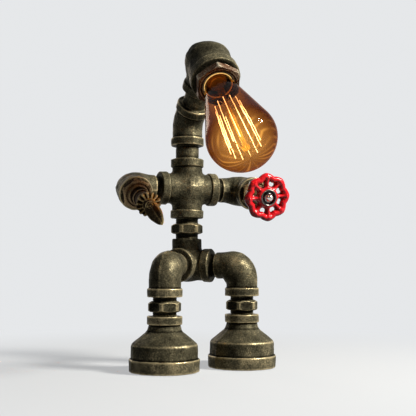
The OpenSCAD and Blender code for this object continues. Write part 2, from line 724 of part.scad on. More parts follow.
// Everything on the lever is laid out with the lever pointing to -Y
module at_lever() at_hand(-1) translate([0, 0, hub_reach]) rotate([0, 0, lever_lean]) children();

blade_back = 4.4;                         // the blade lies across the front of the hub
blade_t = 4;
hub_core_r = 4;                           // and sits on this core

module lever_hub() bright_brass() at_lever() difference() {
    union() {
        cylinder(r1 = hub_r - 1.6, r2 = hub_r, h = blade_back);
        translate([0, 0, blade_back - eps]) cylinder(r = hub_core_r, h = hub_h - blade_back);
    }
    for (flute = [0 : hub_flutes - 1]) rotate([0, 0, (flute + 0.5) * 360 / hub_flutes])
        translate([hub_r + 0.3, 0, -eps]) cylinder(r = 1.3, h = blade_back + 2 * eps);
    translate([0, 0, -eps]) cylinder(r = spindle_r, h = 2 + eps);
    translate([0, 0, 2 - eps]) cylinder(r = 1.6, h = hub_h);
}

module blade_outline() {
    root_r = 6.2;
    belly_r = 6.8;
    tip_r = 3.4;
    hull() {
        circle(root_r, $fn = 32);
        translate([0, -lever_len * 0.42]) circle(belly_r, $fn = 32);
    }
    hull() {
        translate([0, -lever_len * 0.42]) circle(belly_r, $fn = 32);
        translate([0, -lever_len + tip_r]) circle(tip_r, $fn = 32);
    }
}

module lever_blade() brown_brass() at_lever() difference() {
    translate([0, 0, blade_back + 0.05]) linear_extrude(blade_t) blade_outline();
    translate([0, 0, blade_back]) cylinder(r = hub_core_r + 0.05, h = hub_h - blade_back + 0.02);
    translate([0, 0, hub_h]) cylinder(r = 1.65, h = blade_t);
}

module lever_screw() bright_brass() at_lever() {
    translate([0, 0, 2.2]) cylinder(r = 1.55, h = blade_back + blade_t + 0.1 - 2.2);
    translate([0, 0, blade_back + blade_t + 0.1]) cylinder(r1 = 3.4, r2 = 2.4, h = 1.8);
}

// Right hand: a rotary switch turned by a valve handwheel

module right_arm_elbow() iron() at_arm(1) street_elbow();

module right_hand_bushing() brown_brass() at_hand(1) hand_bushing();

housing_r = 8;
housing_way_r = 3.4;                      // way for the cable at the back of the housing
housing_front = wheel_reach - 10;
core_r = 6.4;
core_back = hand_hex_h + 1.5;

module switch_housing() worn_brass() at_hand(1) difference() {
    rotate_extrude() polygon([
        [0, -stub_in], [stub_r, -stub_in], [stub_r, hand_hex_h], [housing_r, hand_hex_h],
        [housing_r, housing_front - 1], [housing_r - 1, housing_front], [0, housing_front]
    ]);
    translate([0, 0, -stub_in - eps]) cylinder(r = housing_way_r, h = housing_front);
    translate([0, 0, core_back]) cylinder(r = core_r + 0.05, h = housing_front);
}

module switch_core() rubber() at_hand(1) translate([0, 0, core_back]) difference() {
    cylinder(r = core_r, h = housing_front - core_back);
    translate([0, 0, 3]) cylinder(r = spindle_r + spindle_gap, h = housing_front);
}

module switch_nut() worn_brass() at_hand(1) translate([0, 0, housing_front]) difference() {
    hex_prism(14, 3, 0.3, 0.6);
    translate([0, 0, -eps]) cylinder(r = spindle_r + spindle_gap, h = 4);
}

module arm_cable() rubber() at_arm(1) {
    start = arm_axis - cross_reach + thread_in;
    rotate([0, -90, 0]) translate([0, 0, bend_r]) cylinder(r = cable_r, h = start - bend_r);
    quarter_bend(cable_r);
    translate([0, 0, bend_r]) cylinder(r = cable_r, h = elbow_reach + core_back - bend_r);
}

wheel_hub_r = 7.8;
wheel_hub_t = 8;
rim_w = 4;
spoke_w = 3.4;
wheel_back = wheel_reach - wheel_t / 2;
hub_back = wheel_reach - wheel_hub_t / 2;
hub_front = wheel_reach + wheel_hub_t / 2;
wheel_turn = 7;

module wheel_spindle() steel() at_hand(1) translate([0, 0, core_back + 3.3])
    cylinder(r = spindle_r, h = hub_front + 3 - core_back - 3.3);

// Lobed rim, one spoke to each lobe, and a round hub
module handwheel() color([0.78, 0.06, 0.08]) at_hand(1) difference() {
    lobe_r = 6;
    valley_r = wheel_r - 2.2;
    union() {
        translate([0, 0, wheel_back]) linear_extrude(wheel_t) difference() {
            union() {
                circle(valley_r);
                for (lobe = [0 : wheel_lobes - 1]) rotate(wheel_turn + lobe * 360 / wheel_lobes)
                    translate([wheel_r - lobe_r, 0]) circle(lobe_r);
            }
            circle(valley_r - rim_w);
        }
        translate([0, 0, hub_back]) cylinder(r = wheel_hub_r, h = wheel_hub_t);
        for (lobe = [0 : wheel_lobes - 1]) rotate([0, 0, wheel_turn + lobe * 360 / wheel_lobes])
            translate([0, -spoke_w / 2, wheel_back + 1]) cube([valley_r - 1, spoke_w, wheel_t - 2]);
    }
    translate([0, 0, hub_back - eps]) cylinder(r = spindle_r + 0.02, h = wheel_hub_t + 2 * eps);
}

module wheel_ring() steel() at_hand(1) translate([0, 0, hub_front]) ring(wheel_hub_r - 0.4, spindle_r + 0.1, 1);

module wheel_nut() steel() at_hand(1) translate([0, 0, hub_front + 1]) difference() {
    nut_h = 3;
    nut_r = 4.2;
    union() {
        cylinder(r = nut_r, h = nut_h);
        translate([0, 0, nut_h]) intersection() {
            translate([0, 0, -nut_r]) sphere(r = nut_r * sqrt(2));
            cylinder(r = nut_r, h = nut_r);
        }
    }
    translate([0, 0, -eps]) cylinder(r = spindle_r, h = 2 + 2 * eps);
}

left_foot();
right_foot();
left_foot_plate();
right_foot_plate();
left_foot_pad();
right_foot_pad();
left_ankle_nipple();
right_ankle_nipple();
left_leg_elbow();
right_leg_elbow();
hip_elbow();
waist_nipple();
inlet_gland();
inlet_seal();
inlet_nut();
terminal_block();
terminal_screws();
earth_screw();
stand_cable();
torso_cross();
neck_nipple();
torso_cable();
neck_elbow();
neck_cable();
head_nipple();
head_elbow();
head_bushing();
holder_cup();
holder_shell();
holder_sleeve();
holder_contact();
holder_screws();
head_cable();
bulb_glass();
bulb_cap();
bulb_insulator();
bulb_contact();
bulb_stem();
bulb_supports();
bulb_filament();
left_arm_elbow();
left_hand_bushing();
valve_body();
valve_gland_nut();
valve_spindle();
lever_hub();
lever_blade();
lever_screw();
right_arm_elbow();
right_hand_bushing();
switch_housing();
switch_core();
switch_nut();
arm_cable();
wheel_spindle();
handwheel();
wheel_ring();
wheel_nut();
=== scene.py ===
"""Desk lamp in the shape of a small robot, screwed together from half-inch pipe fittings.

Lengths are in millimetres while a piece is being shaped. Its mesh gets metres when it is made.
"""
import json
import math

import bpy
import numpy as np
from mathutils import Matrix, Vector


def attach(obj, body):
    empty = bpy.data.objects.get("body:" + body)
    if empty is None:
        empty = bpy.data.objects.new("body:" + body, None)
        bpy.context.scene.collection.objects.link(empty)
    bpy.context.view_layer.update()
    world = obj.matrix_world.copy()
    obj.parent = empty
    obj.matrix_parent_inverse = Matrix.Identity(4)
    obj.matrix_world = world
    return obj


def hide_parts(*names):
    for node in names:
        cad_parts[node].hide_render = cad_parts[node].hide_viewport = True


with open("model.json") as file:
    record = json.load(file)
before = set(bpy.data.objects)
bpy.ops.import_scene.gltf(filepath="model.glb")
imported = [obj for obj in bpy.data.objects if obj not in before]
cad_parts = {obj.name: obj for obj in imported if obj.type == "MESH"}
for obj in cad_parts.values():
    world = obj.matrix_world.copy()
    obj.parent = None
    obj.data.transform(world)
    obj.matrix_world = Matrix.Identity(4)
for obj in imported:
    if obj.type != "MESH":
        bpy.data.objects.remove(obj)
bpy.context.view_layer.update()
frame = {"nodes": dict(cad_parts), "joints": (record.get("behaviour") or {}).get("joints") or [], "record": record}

MM = 0.001

# ---- Camera, floor and light -------------------------------------------------------------------
# The lamp stands on a pale table against a pale wall, seen from just above table height. A strong
# light stands well to the camera's right, a weak one behind on the left picks out the edges, and a
# faint one fills. Left and right in the pieces' names are as seen from the front.

joint = {entry["name"]: entry for entry in frame["joints"]}


def joint_place(name):
    """A joint's place in millimetres."""
    return np.array(joint[name]["pos_m"]) / MM


waist = joint_place("waist_swivel")
upright = np.array([waist[0], waist[1], 0.0])      # foot of the upright axis, on the floor
camera_at = upright + np.array([-252.5, -715.4, 95.0])
sight = Vector((0.3571, 0.9313, 0.0723)).normalized()
camera_roll = math.radians(0.2)
focal_px = 782.8
frame_px = 416
sensor = 36.0

camera_data = bpy.data.cameras.new("camera")
camera_data.sensor_width = sensor
camera_data.lens = focal_px / frame_px * sensor
camera_data.clip_start = 0.02
camera = bpy.data.objects.new("camera", camera_data)
camera.matrix_world = (
    Matrix.Translation(Vector(camera_at * MM))
    @ sight.to_track_quat("-Z", "Y").to_matrix().to_4x4()
    @ Matrix.Rotation(camera_roll, 4, "Z")
)
bpy.context.scene.collection.objects.link(camera)
bpy.context.scene.camera = camera
bpy.context.scene.view_settings.view_transform = "Standard"

wall_colour = (0.79, 0.805, 0.82, 1.0)


def add(tree, kind, inputs=None, **settings):
    """Adds a shader node, sets its properties, and links or sets its inputs."""
    made = tree.nodes.new("ShaderNode" + kind)
    for key, value in settings.items():
        setattr(made, key, value)
    for key, value in (inputs or {}).items():
        if isinstance(value, bpy.types.NodeSocket):
            tree.links.new(value, made.inputs[key])
        else:
            made.inputs[key].default_value = value
    return made


def maths(tree, operation, a, b, **settings):
    """The sum, product or greater of two values."""
    return add(tree, "Math", {0: a, 1: b}, operation=operation, **settings).outputs[0]


def mapped(tree, value, from_low, from_high, low, high, **settings):
    """A value carried from one range to another, and held inside that."""
    ends = {0: value, 1: from_low, 2: from_high, 3: low, 4: high}
    return add(tree, "MapRange", ends, **settings).outputs[0]


def mixed(tree, share, a, b):
    """Two colours mixed, with the given share of the second."""
    return add(tree, "Mix", {0: share, "A": a, "B": b}, data_type="RGBA").outputs["Result"]


def seen_rays(tree):
    """1 for the rays that see the surroundings: straight on, in a gloss, or through glass."""
    rays = add(tree, "LightPath").outputs
    either = maths(tree, "MAXIMUM", rays["Is Camera Ray"], rays["Is Glossy Ray"])
    return maths(tree, "MAXIMUM", either, rays["Is Transmission Ray"])


world = bpy.data.worlds.new("room")
world.use_nodes = True
room = world.node_tree
room.nodes.clear()
room_strength = 0.022
dim = add(room, "Background", {"Color": (0.95, 0.96, 1.0, 1.0), "Strength": room_strength})
# in a gloss or through glass the room is pale ahead of the camera and dimmer behind it
ahead = (sight.x, sight.y, 0.0)
outwards = add(room, "TexCoord").outputs["Generated"]
facing = add(room, "VectorMath", {0: outwards, 1: ahead}, operation="DOT_PRODUCT")
depth = mapped(room, facing.outputs["Value"], -0.3, 0.7, 0.15, 1.0)
level = maths(room, "MAXIMUM", depth, add(room, "LightPath").outputs["Is Camera Ray"])
wall = add(room, "Background", {"Color": wall_colour, "Strength": level})
room_mix = add(room, "MixShader", {0: seen_rays(room), 1: dim.outputs[0], 2: wall.outputs[0]})
add(room, "OutputWorld", {"Surface": room_mix.outputs[0]})
bpy.context.scene.world = world

lit_middle = Vector((0.0, 0.0, 0.15))


def softbox(name, bearing, rise, distance, size, watts, colour):
    """A lamp with a soft square front of the given size, aimed at the object's middle.

    It stands at a bearing to the right of the camera and a rise above the level, in degrees, and at
    a distance in metres.
    """
    data = bpy.data.lights.new(name, "AREA")
    data.size = size
    data.energy = watts
    data.color = colour
    across = Vector((sight.y, -sight.x, 0.0)).normalized()
    back = Vector((-sight.x, -sight.y, 0.0)).normalized()
    bearing, rise = math.radians(bearing), math.radians(rise)
    way = (back * math.cos(bearing) + across * math.sin(bearing)) * math.cos(rise)
    way.z += math.sin(rise)
    lamp = bpy.data.objects.new(name, data)
    lamp.matrix_world = (
        Matrix.Translation(lit_middle + way * distance)
        @ way.to_track_quat("Z", "Y").to_matrix().to_4x4()
    )
    lamp.visible_camera = False
    bpy.context.scene.collection.objects.link(lamp)


softbox("key", 70.0, 36.0, 1.3, 0.3, 50.0, (1.0, 0.97, 0.9))
softbox("edge", -155.0, 20.0, 1.2, 0.28, 1.8, (1.0, 0.85, 0.7))
softbox("fill", -40.0, 30.0, 1.4, 0.8, 0.2, (0.95, 0.97, 1.0))


def new_finish(name):
    """An empty material, and its node tree."""
    finish = bpy.data.materials.new(name)
    finish.use_nodes = True
    finish.node_tree.nodes.clear()
    return finish, finish.node_tree


half = 6                                           # of the floor's width, in metres
floor_mesh = bpy.data.meshes.new("floor")
floor_corners = [(-half, -half, 0), (half, -half, 0), (half, half, 0), (-half, half, 0)]
floor_mesh.from_pydata(floor_corners, [], [(0, 1, 2, 3)])
floor = bpy.data.objects.new("floor", floor_mesh)
bpy.context.scene.collection.objects.link(floor)
floor_finish, tree = new_finish("pale floor")
# seen straight on or in a gloss the table is pale, and it throws little light back up
seen = seen_rays(tree)
table_colour = mixed(tree, seen, (0.035, 0.035, 0.035, 1.0), (0.46, 0.47, 0.48, 1.0))
lit = add(tree, "BsdfDiffuse", {"Color": table_colour})
plain = add(tree, "Emission", {"Color": wall_colour, "Strength": 1.0})
# the table's own light and shade fade into the wall's colour 0.12 to 0.5 m away from the object
spot = add(tree, "VectorMath", {0: add(tree, "TexCoord").outputs["Object"]}, operation="LENGTH")
fade = mapped(tree, spot.outputs["Value"], 0.12, 0.5, 0.55, 1.0, interpolation_type="SMOOTHSTEP")
share = maths(tree, "MULTIPLY", seen, fade)
floor_mix = add(tree, "MixShader", {0: share, 1: lit.outputs[0], 2: plain.outputs[0]})
add(tree, "OutputMaterial", {"Surface": floor_mix.outputs[0]})
floor_mesh.materials.append(floor_finish)

# ---- Feet --------------------------------------------------------------------------------------
# Each foot is a bell-shaped reducing socket, sand-cast in malleable iron and bronzed, with a band
# at both ends and a casting rib down two sides. A steel plate and a rubber pad close its hollow.


def move(x, y, z):
    """A shift, as a 4 by 4 matrix."""
    return np.array(Matrix.Translation((x, y, z)))


def turn(degrees, axis):
    """A turn about X, Y or Z, as a 4 by 4 matrix."""
    return np.array(Matrix.Rotation(math.radians(degrees), 4, axis))


def placed(points, place):
    """The points moved by a 4 by 4 matrix."""
    return points @ place[:3, :3].T + place[:3, 3]


def rounded(corners, step=0.8):
    """A closed outline with rounded corners, and how worn it is along its length.

    Each corner is (radius, height, rounding) and the solid lies to the left of the way round. A
    corner becomes the parabola (1-u)^2 a + 2u(1-u) c + u^2 b between points a and b, one rounding
    from corner c. Straight stretches get a point every step. Wear is the sum over the corners of
    exp(-(distance/0.9)^2), positive where the corner stands out and negative where it is let in.
    """
    wear_width = 0.9
    corners = np.asarray(corners, float)
    spots, rounding = corners[:, :2], corners[:, 2]
    ahead = np.roll(spots, -1, 0) - spots
    length = np.linalg.norm(ahead, axis=1)
    ahead /= length[:, None]
    behind = -np.roll(ahead, 1, 0)
    reach = np.minimum(rounding, 0.45 * np.minimum(length, np.roll(length, 1)))
    bulge = behind[:, 1] * ahead[:, 0] - behind[:, 0] * ahead[:, 1]
    u = np.linspace(0, 1, 7)[:, None]
    parts, middles, count = [], [], 0
    for i in range(len(spots)):
        a = spots[i] + behind[i] * reach[i]
        b = spots[i] + ahead[i] * reach[i]
        arc = (1 - u) ** 2 * a + 2 * u * (1 - u) * spots[i] + u ** 2 * b
        following = (i + 1) % len(spots)
        c = spots[following] - ahead[i] * reach[following]
        pieces = max(2, int(np.linalg.norm(c - b) / step) + 1)
        straight = b + (c - b) * np.linspace(0, 1, pieces + 1)[1:-1, None]
        middles.append(count + len(u) // 2)
        count += len(arc) + len(straight)
        parts += [arc, straight]
    outline = np.vstack(parts)
    hops = np.linalg.norm(np.roll(outline, -1, 0) - outline, axis=1)
    along = np.concatenate([[0], np.cumsum(hops)[:-1]])
    total = hops.sum()
    apart = np.abs(along[:, None] - along[np.array(middles)][None, :])
    apart = np.minimum(apart, total - apart)
    wear = (np.clip(bulge, -1, 1) * np.exp(-(apart / wear_width) ** 2)).sum(1)
    return outline, wear


def lumps(points, height, size):
    """Gentle unevenness of a sand casting: five plane waves summed, of about the given size."""
    waves = np.array([
        [1.0, 0.3, 0.5], [-0.4, 1.0, 0.7], [0.6, -0.8, 1.0], [0.2, 0.9, -1.1], [-1.2, 0.5, 0.3],
    ])
    phases = points @ (waves.T * 2 * np.pi / size) + np.array([0.0, 1.3, 2.9, 4.1, 5.2])
    return height * np.sin(phases).sum(-1) / 3


def grid_normals(points):
    """Normals of a closed grid of points: the cross product of its steps along rows and columns."""
    down = np.roll(points, -1, 0) - np.roll(points, 1, 0)
    across = np.roll(points, -1, 1) - np.roll(points, 1, 1)
    normal = np.cross(across, down)
    return normal / np.maximum(np.linalg.norm(normal, axis=2, keepdims=True), 1e-9)


def grid_faces(rows, columns, closed):
    """Four-cornered faces of a grid whose columns wrap round, and whose rows wrap if closed."""
    index = np.arange(rows * columns).reshape(rows, columns)
    here, below = (index, np.roll(index, -1, 0)) if closed else (index[:-1], index[1:])
    corners = [here, np.roll(here, -1, 1), np.roll(below, -1, 1), below]
    return np.stack(corners, -1).reshape(-1, 4)


def make_piece(points, quads, threes, wear, finish, body, node):
    """A smooth mesh from points in millimetres in a node's place, with its wear, and any painted light and shade,
    as an attribute.
    """
    name = node + "_form"
    mesh = bpy.data.meshes.new(name)
    mesh.vertices.add(len(points))
    mesh.vertices.foreach_set("co", (points * MM).astype(np.float32).ravel())
    loops = np.concatenate([quads.ravel(), threes.ravel()]).astype(np.int32)
    sizes = np.concatenate([np.full(len(quads), 4), np.full(len(threes), 3)])
    starts = np.concatenate([[0], np.cumsum(sizes)[:-1]]).astype(np.int32)
    mesh.loops.add(len(loops))
    mesh.loops.foreach_set("vertex_index", loops)
    mesh.polygons.add(len(sizes))
    mesh.polygons.foreach_set("loop_start", starts)
    mesh.polygons.foreach_set("use_smooth", np.ones(len(sizes), bool))
    mesh.update(calc_edges=True)
    mesh.validate()
    mesh.attributes.new("wear", "FLOAT", "POINT").data.foreach_set("value", wear.astype(np.float32))
    mesh.materials.append(finish)
    made = bpy.data.objects.new(name, mesh)
    bpy.context.scene.collection.objects.link(made)
    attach(made, body)
    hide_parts(node)


def volume(points, faces):
    """Signed volume inside faces: the sum of a . (b x c) / 6 over their triangles."""
    total = 0.0
    for k in range(1, faces.shape[1] - 1):
        a, b, c = points[faces[:, 0]], points[faces[:, k]], points[faces[:, k + 1]]
        total += np.einsum("ij,ij->i", a, np.cross(b, c)).sum() / 6
    return total


def shell(grids, finish, body, node):
    """One piece from closed grids of points, each with its wear and whether its rows wrap.

    The ends of a grid whose rows don't wrap are closed with a fan round their middle.
    """
    points, wears, quads, threes, first = [], [], [], [], 0
    for grid, wear, closed in grids:
        rows, columns = grid.shape[:2]
        flat = grid.reshape(-1, 3)
        worn = np.broadcast_to(wear, (rows, columns)).ravel()
        faces = grid_faces(rows, columns, closed)
        fans = np.zeros((0, 3), int)
        if not closed:
            middle = rows * columns
            flat = np.vstack([flat, grid[0].mean(0), grid[-1].mean(0)])
            worn = np.append(worn, [worn[:columns].mean(), worn[-columns:].mean()])
            start = np.arange(columns)
            end = start + (rows - 1) * columns
            fans = np.vstack([
                np.stack([np.roll(start, -1), start, np.full(columns, middle)], 1),
                np.stack([end, np.roll(end, -1), np.full(columns, middle + 1)], 1),
            ])
        if volume(flat, faces) + volume(flat, fans) < 0:
            faces, fans = faces[:, ::-1], fans[:, ::-1]
        points.append(flat)
        wears.append(worn)
        quads.append(faces + first)
        threes.append(fans + first)
        first += len(flat)
    make_piece(np.vstack(points), np.vstack(quads), np.vstack(threes), np.concatenate(wears),
               finish, body, node)


def piece(grid, wear, place, finish, body, node, closed=True):
    """One piece from one closed grid of points, moved to its place."""
    shell([(placed(grid, place), wear, closed)], finish, body, node)


def around(columns):
    """Angles of the given number of columns, once round."""
    return np.linspace(0, 2 * np.pi, columns, endpoint=False)


def revolved(outline, columns=128, radius=None):
    """An outline carried round Z: (r cos t, r sin t, z), where radius(r, z, t) may change r."""
    t = around(columns)[None, :]
    r = np.repeat(outline[:, :1], columns, 1)
    z = np.repeat(outline[:, 1:], columns, 1)
    if radius is not None:
        r = radius(r, z, t)
    return np.stack([r * np.cos(t), r * np.sin(t), z + 0 * t], -1)


def lathed(corners, step, columns, radius=None):
    """A rounded outline carried round Z, and its wear."""
    outline, wear = rounded(corners, step)
    return revolved(outline, columns, radius), wear[:, None]


cast_rise = 0.12
cast_wave = 9.0


def cast(grid, height=cast_rise, size=cast_wave):
    """A grid moved along its normals by the unevenness of a sand casting."""
    return grid + grid_normals(grid) * lumps(grid, height, size)[..., None]


def noise(tree, scale, detail=2.0, rough=0.5):
    """Random clouds that keep to the object, about 1 / scale metres across."""
    place = add(tree, "TexCoord").outputs["Object"]
    settings = {"Vector": place, "Scale": scale, "Detail": detail, "Roughness": rough}
    return add(tree, "TexNoise", settings).outputs["Fac"]


def wear_and_painted_light_of(tree):
    """The wear, and on some pieces painted light and shade, that the shape carries as an attribute."""
    return add(tree, "Attribute", attribute_name="wear", attribute_type="GEOMETRY").outputs["Fac"]


def ramped(tree, value, *stops):
    """Colours that a value runs through: each stop is the value and the colour there."""
    ramp = add(tree, "ValToRGB", {0: value})
    elements = ramp.color_ramp.elements
    for end in (0, -1):
        elements[end].position, elements[end].color = stops[end][0], (*stops[end][1], 1.0)
    for at, colour in stops[1:-1]:
        elements.new(at).color = (*colour, 1.0)
    return ramp.outputs[0]


def bumped(tree, height, strength, rise):
    """Fine relief in the shading, rising by so many metres."""
    return add(tree, "Bump", {"Height": height, "Strength": strength, "Distance": rise}).outputs[0]


def finished(finish, inputs):
    """The material, ended in a shader with the given inputs."""
    skin = add(finish.node_tree, "BsdfPrincipled", inputs)
    add(finish.node_tree, "OutputMaterial", {"Surface": skin.outputs[0]})
    return finish


def bronzed_iron(name, grey, rubbed, amount, roughness, bright):
    """Cast metal under a dark patina, rubbed bright where it stands out.

    How much is rubbed is amount + wear + patches + grain: the shape's own wear attribute, which on
    some pieces also carries painted shade and painted highlights, patches of 15 mm, and grain of
    about 1 mm. The colour goes from black in the corners through grey to the rubbed metal. The
    share of bare metal rises with it up to bright, and the roughness falls.
    """
    finish, tree = new_finish(name)
    grain = noise(tree, 900.0, 4.0, 0.75)
    place = add(tree, "TexCoord").outputs["Object"]
    sand = add(tree, "TexVoronoi", {"Vector": place, "Scale": 1100.0}).outputs["Distance"]
    patch_part = mapped(tree, noise(tree, 65.0, 5.0, 0.6), 0.3, 0.7, -0.2, 0.2)
    grain_part = mapped(tree, grain, 0.32, 0.7, -0.26, 0.3)
    wear_and_painted_light_part = mapped(tree, wear_and_painted_light_of(tree), -1.0, 1.0, -0.5, 0.5)
    parts = maths(tree, "ADD", maths(tree, "ADD", patch_part, grain_part), wear_and_painted_light_part)
    rub = maths(tree, "ADD", parts, amount, use_clamp=True)
    grey, rubbed = np.array(grey), np.array(rubbed)
    paler = 0.55 * grey + 0.45 * rubbed
    colour = ramped(tree, rub, (0.0, 0.1 * grey), (0.4, grey), (0.66, paler), (1.0, rubbed))
    return finished(finish, {
        "Base Color": colour,
        "Metallic": mapped(tree, rub, 0.2, 1.0, 0.27, bright),
        "Roughness": mapped(tree, rub, 0.1, 0.9, roughness + 0.1, roughness - 0.12),
        "Specular IOR Level": 0.0,
        "Normal": bumped(tree, maths(tree, "ADD", grain, sand), 0.45, 0.0002),
    })


iron = bronzed_iron("bronzed cast iron", (0.076, 0.068, 0.042), (0.48, 0.39, 0.22), 0.3, 0.43, 0.65)

leg_bearing = {"left": 5.0 - 45.0, "right": 5.0 + 45.0}
leg_axis = 55.5
foot_height = 49.0
at_axis = move(*upright)
# what all half-inch fittings share: radius of a mouth's band and of the body behind it, of the
# threaded bore and of the way behind that
band_r = 15.9
body_r = 14.5
bore_r = 10.05
way_r = 7.8


def at_foot(side):
    """On the floor under a leg; +X points away from the upright axis."""
    return at_axis @ turn(leg_bearing[side] - 90, "Z") @ move(leg_axis, 0, 0)


foot_outline, foot_wear = rounded([
    (23.0, 0.5, 0.3), (31.4, 0.4, 0.8), (31.75, 11.2, 1.3), (30.0, 11.8, 0.5), (29.9, 24.2, 2.6),
    (15.6, 35.8, 3.5), (14.2, 41.3, 0.6), (band_r, 41.7, 0.9), (band_r, foot_height, 0.8),
    (11.0, foot_height - 0.1, 0.5), (bore_r, foot_height - 1, 0.3), (bore_r, 35.0, 0.3),
    (way_r, 33.0, 0.3), (23.0, 20.0, 1.0),
])
band_polish = 0.22


def banded_wear(outline, wear, bands):
    """Wear raised on the bands, which hands and cloths polish first: those outline points that lie
    beyond the given radius and between the given heights."""
    r, z = outline.T
    for beyond, low, high in bands:
        wear = wear + band_polish * ((r > beyond) & (z > low) & (z < high))
    return wear


foot_wear = banded_wear(foot_outline, foot_wear, [(31.0, 0, 12), (15.0, 41, 50)])

rib_turn = {"left": -41.0, "right": 58.0}
rib_rise = 0.9
rib_half = 1.7


def ribbed(rib_at):
    """Radius of a foot with a low rib down two sides: outside, r + rise exp(-(arc / half)^4)."""
    def radius(r, z, t):
        arc = r * np.sin(t - math.radians(rib_at))
        outside = (r > 14.0) & (z > 0.6) & (z < 40.5) & ((r > 24.0) | (z > 22.0))
        return r + rib_rise * np.exp(-(arc / rib_half) ** 4) * outside
    return radius


for side in ("left", "right"):
    foot = cast(revolved(foot_outline, 160, ribbed(rib_turn[side])))
    piece(foot, foot_wear[:, None], at_foot(side), iron, "stand", side + "_foot")

# ---- Ankle and waist nipples -------------------------------------------------------------------
# Turned and threaded nipples with a hexagon, whose corners are cut back by a wide cone at each end,
# so that each flat is framed by bright edges. The thread's last turns show on both sides of it.

thread_r = 10.0
thread_in = 13.0
thread_pitch = 1.8


def thread(r, z, t, depth=0.45):
    """A V thread: r less depth times a triangle wave of z / pitch - t / 2 pi."""
    wave = np.abs(((z / thread_pitch - t / (2 * np.pi)) % 1.0) - 0.5) * 2
    return r - depth * wave


def to_flat(t, turned_by):
    """The angle from t to the middle of the nearest flat of a hexagon."""
    return (t - math.radians(turned_by) + np.pi / 6) % (np.pi / 3) - np.pi / 6


def hexed(across, low, high, turned_by, threads=()):
    """Radius inside a hexagon between heights low and high: the lesser of r and (across / 2) / cos
    of the angle to the nearest flat. Between the heights in threads it is a thread instead."""
    def radius(r, z, t):
        flat = across / 2 / np.cos(to_flat(t, turned_by))
        inside = (z > low) & (z < high) & (r > across * 0.3)
        shaped = np.where(inside, np.minimum(r, flat), r)
        for thread_low, thread_high in threads:
            cut = (z > thread_low) & (z < thread_high) & (r > 8.5)
            shaped = np.where(cut, thread(shaped, z, t), shaped)
        return shaped
    return radius


def hex_wear(outline, wear, across, low, high, turned_by, columns):
    """Wear of a hexagon: 0.9 where a flat meets the cone that cuts it, falling off over 0.5 mm,
    and a little less than nothing on the flats."""
    flat = across / 2 / np.cos(to_flat(around(columns)[None, :], turned_by))
    r, z = outline[:, :1], outline[:, 1:]
    between = (z > low) & (z < high)
    edge = np.exp(-((r - flat) / 0.5) ** 2) * (between & (r > across * 0.3))
    on_flat = (r > flat + 0.3) & between
    return np.maximum(wear[:, None] * ~on_flat, edge * 0.9) - 0.3 * on_flat


def hexagonal(corners, step, columns, across, low, high, turned_by, threads=(), over=-0.01):
    """An outline carried round Z with a hexagon from low to high, and its wear."""
    outline, wear = rounded(corners, step)
    shape = hexed(across, low + 0.01, high + over, turned_by, threads)
    worn = hex_wear(outline, wear, across, low, high, turned_by, columns)
    return revolved(outline, columns, shape), worn


nipple_across = 27.5
nipple_neck_r = 10.9


def hex_nipple(gap, lower_neck, hex_height, turned_by, place, node):
    """A nipple standing on a fitting's face at height 0, with a hexagon above its lower neck."""
    corner_r = 15.3
    top = lower_neck + hex_height
    grid, worn = hexagonal([
        (way_r, -thread_in, 0.3), (thread_r, -thread_in, 0.5), (thread_r, 0.3, 0.1),
        (nipple_neck_r, 0.3, 0.3), (nipple_neck_r, lower_neck, 0.3), (12.9, lower_neck, 0.4),
        (corner_r, lower_neck + 1.2, 0.6), (corner_r, top - 2.0, 0.7), (12.0, top, 0.5),
        (nipple_neck_r, top, 0.2), (nipple_neck_r, gap - 0.3, 0.3), (thread_r, gap - 0.3, 0.1),
        (thread_r, gap + thread_in, 0.5), (way_r, gap + thread_in, 0.3),
    ], 0.45, 144, nipple_across, lower_neck, top, turned_by,
        [(0.3, lower_neck - 0.3), (top + 0.3, gap - 0.3)])
    z = grid[..., 2]
    # painted shade: the necks on both sides of the hexagon are darkened for the shadow in the gaps to the fittings
    worn = worn - 0.5 * ((z < lower_neck - 0.2) | (z > top + 0.2))
    piece(cast(grid, 0.04, 5.0), worn, place, iron, "stand", node)


ankle_gap = 17.0
ankle_turn = {"left": -20.0, "right": 5.0}
for side in ("left", "right"):
    hex_nipple(ankle_gap, 3.8, 9.5, ankle_turn[side], at_foot(side) @ move(0, 0, foot_height),
               side + "_ankle_nipple")

waist_gap = 20.0
hex_nipple(waist_gap, 4.8, 9.8, 19.0, at_axis @ move(0, 0, waist[2] - waist_gap), "waist_nipple")

# ---- Leg and arm elbows ------------------------------------------------------------------------
# Street elbows: cast quarter bends with a banded mouth at one end and, at the other, a thinner half
# that ends in a male thread. A raised seam, where the two halves of the mould met, runs all round.

fan_r = 14.4
fan_columns = 112


def banded_mouth(face, way, rim=0.0):
    """Corners of a mouth at a height and its way out, +1 or -1: over the band and into the bore."""
    return [(r, face - way * back, rounding) for r, back, rounding in (
        (body_r, 8.0, 0.6), (band_r, 7.4, 1.0), (band_r, 0.0, 0.9), (11.2, rim, 0.5),
        (bore_r, 1.1, 0.3), (bore_r, 9.0, 0.3), (way_r, 9.4, 0.3),
    )]


